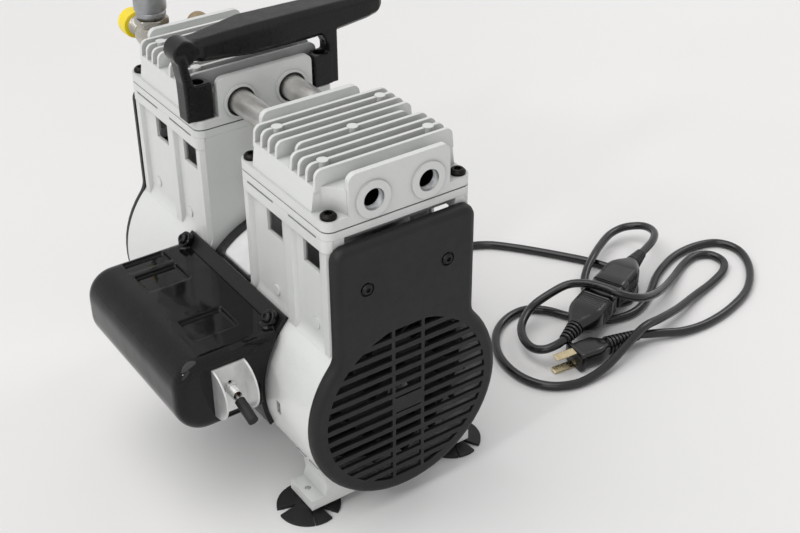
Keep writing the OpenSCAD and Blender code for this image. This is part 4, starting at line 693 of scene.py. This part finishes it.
def thickened(name, node_name, factor):
    """Copy of a long node's mesh, scaled across its axis, which stands for the node."""
    mesh = nodes[node_name].data.copy()
    matrix = nodes[node_name].matrix_world
    points = np.array([tuple(matrix @ v.co) for v in mesh.vertices])
    centre = points.mean(axis=0)
    axis = np.linalg.svd(points - centre, full_matrices=False)[2][0]
    along = np.outer((points - centre) @ axis, axis)
    for vertex, place in zip(mesh.vertices, centre + along + factor * (points - centre - along)):
        vertex.co = Vector([float(v) for v in place])
    dress(link_mesh(name, mesh), SLOTS[node_name], BODY[node_name], (node_name,))


thickened("lever_sleeve_form", "lever_sleeve", 1.22)

# Plug and connector


def loft(name, rows, place, turn, tilt=0.0, mirror=False, replaces=(), steps=40):
    """Rounded rubber body along its own X axis; each row is (x, width, height, corner radius)."""
    spin = Matrix.Rotation(turn, 3, "Z") @ Matrix.Rotation(-tilt, 3, "Y")
    work = bmesh.new()
    grid = []
    for x, width, height, corner in rows:
        ring = []
        for i in range(steps):
            quarter, part = divmod(i, steps // 4)
            turned_by = math.pi / 2 * (quarter + part / (steps // 4 - 1))
            cx = (width / 2 - corner) * (1 if quarter in (0, 3) else -1)
            cz = (height / 2 - corner) * (1 if quarter in (0, 1) else -1)
            local = Vector((-x if mirror else x, cx + corner * math.cos(turned_by),
                            cz + corner * math.sin(turned_by)))
            ring.append(work.verts.new(at(*(Vector(place) + spin @ local))))
        grid.append(ring)
    dress(link_mesh(name, skin(name, work, grid, (True, True), 40)), "cord_black", "pump", replaces)


def relief_rows(x0, x1, r0, r1, count, gap):
    """Rows of a ribbed strain relief that narrows from r0 to r1."""
    rows = []
    pitch = (x1 - x0) / count
    for k in range(count):
        r = r0 + (r1 - r0) * k / count
        x = x0 + k * pitch
        for dx, rr in ((0.0, r - gap), (0.25 * pitch, r - gap), (0.34 * pitch, r - 0.15), (0.42 * pitch, r),
                       (0.82 * pitch, r), (0.9 * pitch, r - 0.15), (0.98 * pitch, r - gap)):
            rows.append((x + dx, 2 * rr, 2 * rr, rr * 0.98))
    rows.append((x1, 2 * r1, 2 * r1, r1 * 0.98))
    return rows


def connector_rows(nose):
    """Rows of a lead connector with a nose of this width, a grooved grip, a shoulder and a strain relief."""
    rows = [(0.0, nose - 1.2, 15.6, 2.6), (0.6, nose, 16.8, 3.0), (5.0, nose, 16.8, 3.0),
            (5.4, nose - 0.8, 16.2, 3.0), (6.0, nose - 0.8, 16.2, 3.0), (6.4, 26.4, 18.5, 3.9),
            (7.2, 26.9, 18.9, 4.2), (14.0, 26.9, 18.9, 4.4)]
    for k in range(6):
        x = 15 + k * 2.4
        rows += [(x, 26.6, 18.6, 4.4), (x + 0.4, 25.5, 17.8, 4.2), (x + 1.1, 25.5, 17.8, 4.2),
                 (x + 1.5, 26.6, 18.6, 4.4)]
    rows += [(30.5, 26.7, 18.7, 4.8), (34, 25.4, 18.2, 5.2), (39, 21.5, 16.4, 5.8), (43, 17.4, 14.6, 6.2),
             (46.4, 13.8, 12.9, 6.0), (48, 12.6, 12.4, 6.1)]
    return rows + relief_rows(48.2, CONNECTOR_REACH, 6.2, 3.9, 5, 1.5)


loft("captive_connector_form", connector_rows(26.0), CONNECTOR_AT, CONNECTOR_TURN, CONNECTOR_TILT,
     replaces=("captive_connector",))
loft("power_connector_form", connector_rows(23.0), CONNECTOR_AT, CONNECTOR_TURN, CONNECTOR_TILT, mirror=True,
     replaces=("power_connector",))

PLUG_TURN = math.radians(-5.8)
PLUG_REACH = 58.0
plug_face = Vector(PLUG_TIP) - Vector((math.cos(PLUG_TURN), math.sin(PLUG_TURN), 0)) * PLUG_REACH
plug_rows = [(0.0, 19.4, 13.8, 2.4), (0.5, 20.6, 15.0, 2.8), (3.0, 21.4, 15.4, 3.0), (3.4, 21.0, 15.0, 3.0),
             (3.7, 18.6, 13.2, 2.8), (5.0, 18.4, 13.2, 2.8), (6.0, 18.4, 13.4, 3.0), (17.0, 19.2, 13.5, 3.2),
             (20.0, 19.0, 13.4, 3.4), (24.0, 15.4, 12.2, 3.6), (27.4, 12.6, 10.6, 4.0),
             (28.4, 12.4, 10.4, 4.6)]
plug_rows += relief_rows(28.6, 57.8, 6.9, 3.9, 9, 1.7)
loft("plug_form", plug_rows, plug_face, PLUG_TURN, replaces=("plug",))

# Strain relief on the motor's right side
lathe("relief_collar", "cord_black", RELIEF_AT, (1, 0, 0),
      [(8.6, 0.2), (9.0, 0.5), (9.0, 2.4), (8.5, 3.0), (6.0, 3.3)], replaces=("strain_relief",))
loft("relief_form", relief_rows(3.2, RELIEF_LEN, 6.0, 3.9, 8, 1.2), RELIEF_AT, 0.0,
     replaces=("strain_relief",))

# Bare label: it reaches this far along and round the shell to either side of its middle

LABEL_R = 63.34
LABEL_HALF = 17.2
LABEL_MIDDLE = math.radians(115.0)
LABEL_SPREAD = math.radians(18.6)
LABEL_CORNER = 3.0
LABEL_THICKNESS = 0.2
LABEL_STEPS = 24


def bent_label():
    """Bare label with rounded corners, bent round the motor's shell."""
    work = bmesh.new()
    grid = []
    for k in range(LABEL_STEPS + 1):
        y = LABEL_HALF * (2 * k / LABEL_STEPS - 1)
        over = max(0.0, abs(y) - (LABEL_HALF - LABEL_CORNER))
        cut = LABEL_CORNER - math.sqrt(max(0.0, LABEL_CORNER * LABEL_CORNER - over * over))
        row = []
        for i in range(LABEL_STEPS + 1):
            turn = LABEL_MIDDLE + (LABEL_SPREAD - cut / LABEL_R) * (2 * i / LABEL_STEPS - 1)
            row.append(work.verts.new(at(LABEL_R * math.cos(turn), MOTOR_Y + y,
                                         SHAFT_Z + LABEL_R * math.sin(turn))))
        grid.append(row)
    for low, high in zip(grid, grid[1:]):
        for i in range(LABEL_STEPS):
            work.faces.new((low[i], high[i], high[i + 1], low[i + 1]))
    mesh = bpy.data.meshes.new("label_sheet")
    work.to_mesh(mesh)
    work.free()
    obj = link_mesh("label_sheet", mesh)
    solid = obj.modifiers.new("thickness", "SOLIDIFY")
    solid.thickness = LABEL_THICKNESS * MM
    solid.offset = -1
    shaded(mesh)
    dress(obj, "label_white", "pump", ("motor_label",))


bent_label()

# The other nodes: a rounded copy, or the node itself in its material
for node_name in nodes:
    if node_name in ROUNDED:
        rounded(node_name, ROUNDED[node_name])
    elif node_name not in stood_for:
        nodes[node_name].data.materials.clear()
        nodes[node_name].data.materials.append(MATERIALS[SLOTS[node_name]])

# Floor and light


def stage_floor():
    """Plain pale floor under the pump."""
    bpy.ops.mesh.primitive_plane_add(size=14, location=(1.5, 2.0, 0))
    floor = bpy.context.object
    floor.name = "floor"
    g = Graph("floor")
    cloudy = g.ranged(g.noise(1.6, 3), 0.3, 0.7, 0.0, 1.0)
    color = g.mixed(cloudy, (0.805, 0.80, 0.80), (0.84, 0.835, 0.835))
    floor.data.materials.append(g.finish(color, 0.75, bumps=((g.noise(3.0, 3), 0.004),)))


stage_floor()
world = bpy.data.worlds.new("studio")
bpy.context.scene.world = world
world.use_nodes = True
background = world.node_tree.nodes["Background"]
background.inputs["Color"].default_value = (0.985, 0.98, 0.985, 1.0)
LIGHT_LEVEL = 0.36  # of the world's light on the pieces
BACKDROP_LEVEL = 0.84  # of the world where it is seen, mirrored or shines through


def world_math(operation, first, second):
    """Output of a calculation in the world's node tree."""
    node = world.node_tree.nodes.new("ShaderNodeMath")
    node.operation = operation
    for socket, value in zip(node.inputs, (first, second)):
        feed(world.node_tree, socket, value)
    return node.outputs[0]


ray = world.node_tree.nodes.new("ShaderNodeLightPath").outputs
mirrored = world_math("MAXIMUM", ray["Is Glossy Ray"], ray["Is Transmission Ray"])
seen = world_math("MAXIMUM", ray["Is Camera Ray"], mirrored)
strength = world_math("ADD", world_math("MULTIPLY", seen, BACKDROP_LEVEL - LIGHT_LEVEL), LIGHT_LEVEL)
world.node_tree.links.new(strength, background.inputs["Strength"])


def lamp(name, place, aim, size, power_w, color=(1.0, 1.0, 1.0)):
    """Round area lamp at a place, turned to its aim."""
    data = bpy.data.lights.new(name, "AREA")
    data.shape = "DISK"
    data.size = size
    data.energy = power_w
    data.color = color
    obj = bpy.data.objects.new(name, data)
    obj.location = place
    obj.rotation_euler = (Vector(aim) - Vector(place)).to_track_quat("-Z", "Y").to_euler()
    bpy.context.scene.collection.objects.link(obj)


sun_data = bpy.data.lights.new("key", "SUN")
sun_data.energy = 1.7
sun_data.angle = math.radians(60)
sun_data.color = (1.0, 0.992, 0.975)
sun = bpy.data.objects.new("key", sun_data)
sun.rotation_euler = Vector((1.0, -0.35, -2.6)).to_track_quat("-Z", "Y").to_euler()
bpy.context.scene.collection.objects.link(sun)
lamp("fill", (-1.6, -1.9, 1.2), (-0.1, 0.0, 0.05), 1.6, 8, (0.98, 0.99, 1.0))
lamp("side", (2.0, 0.2, 1.9), (0.1, 0.0, 0.1), 1.0, 8)
lamp("spark", (-1.7, -0.5, 1.3), (0.0, 0.0, 0.12), 0.2, 5.0)

bpy.context.scene.view_settings.view_transform = "Standard"
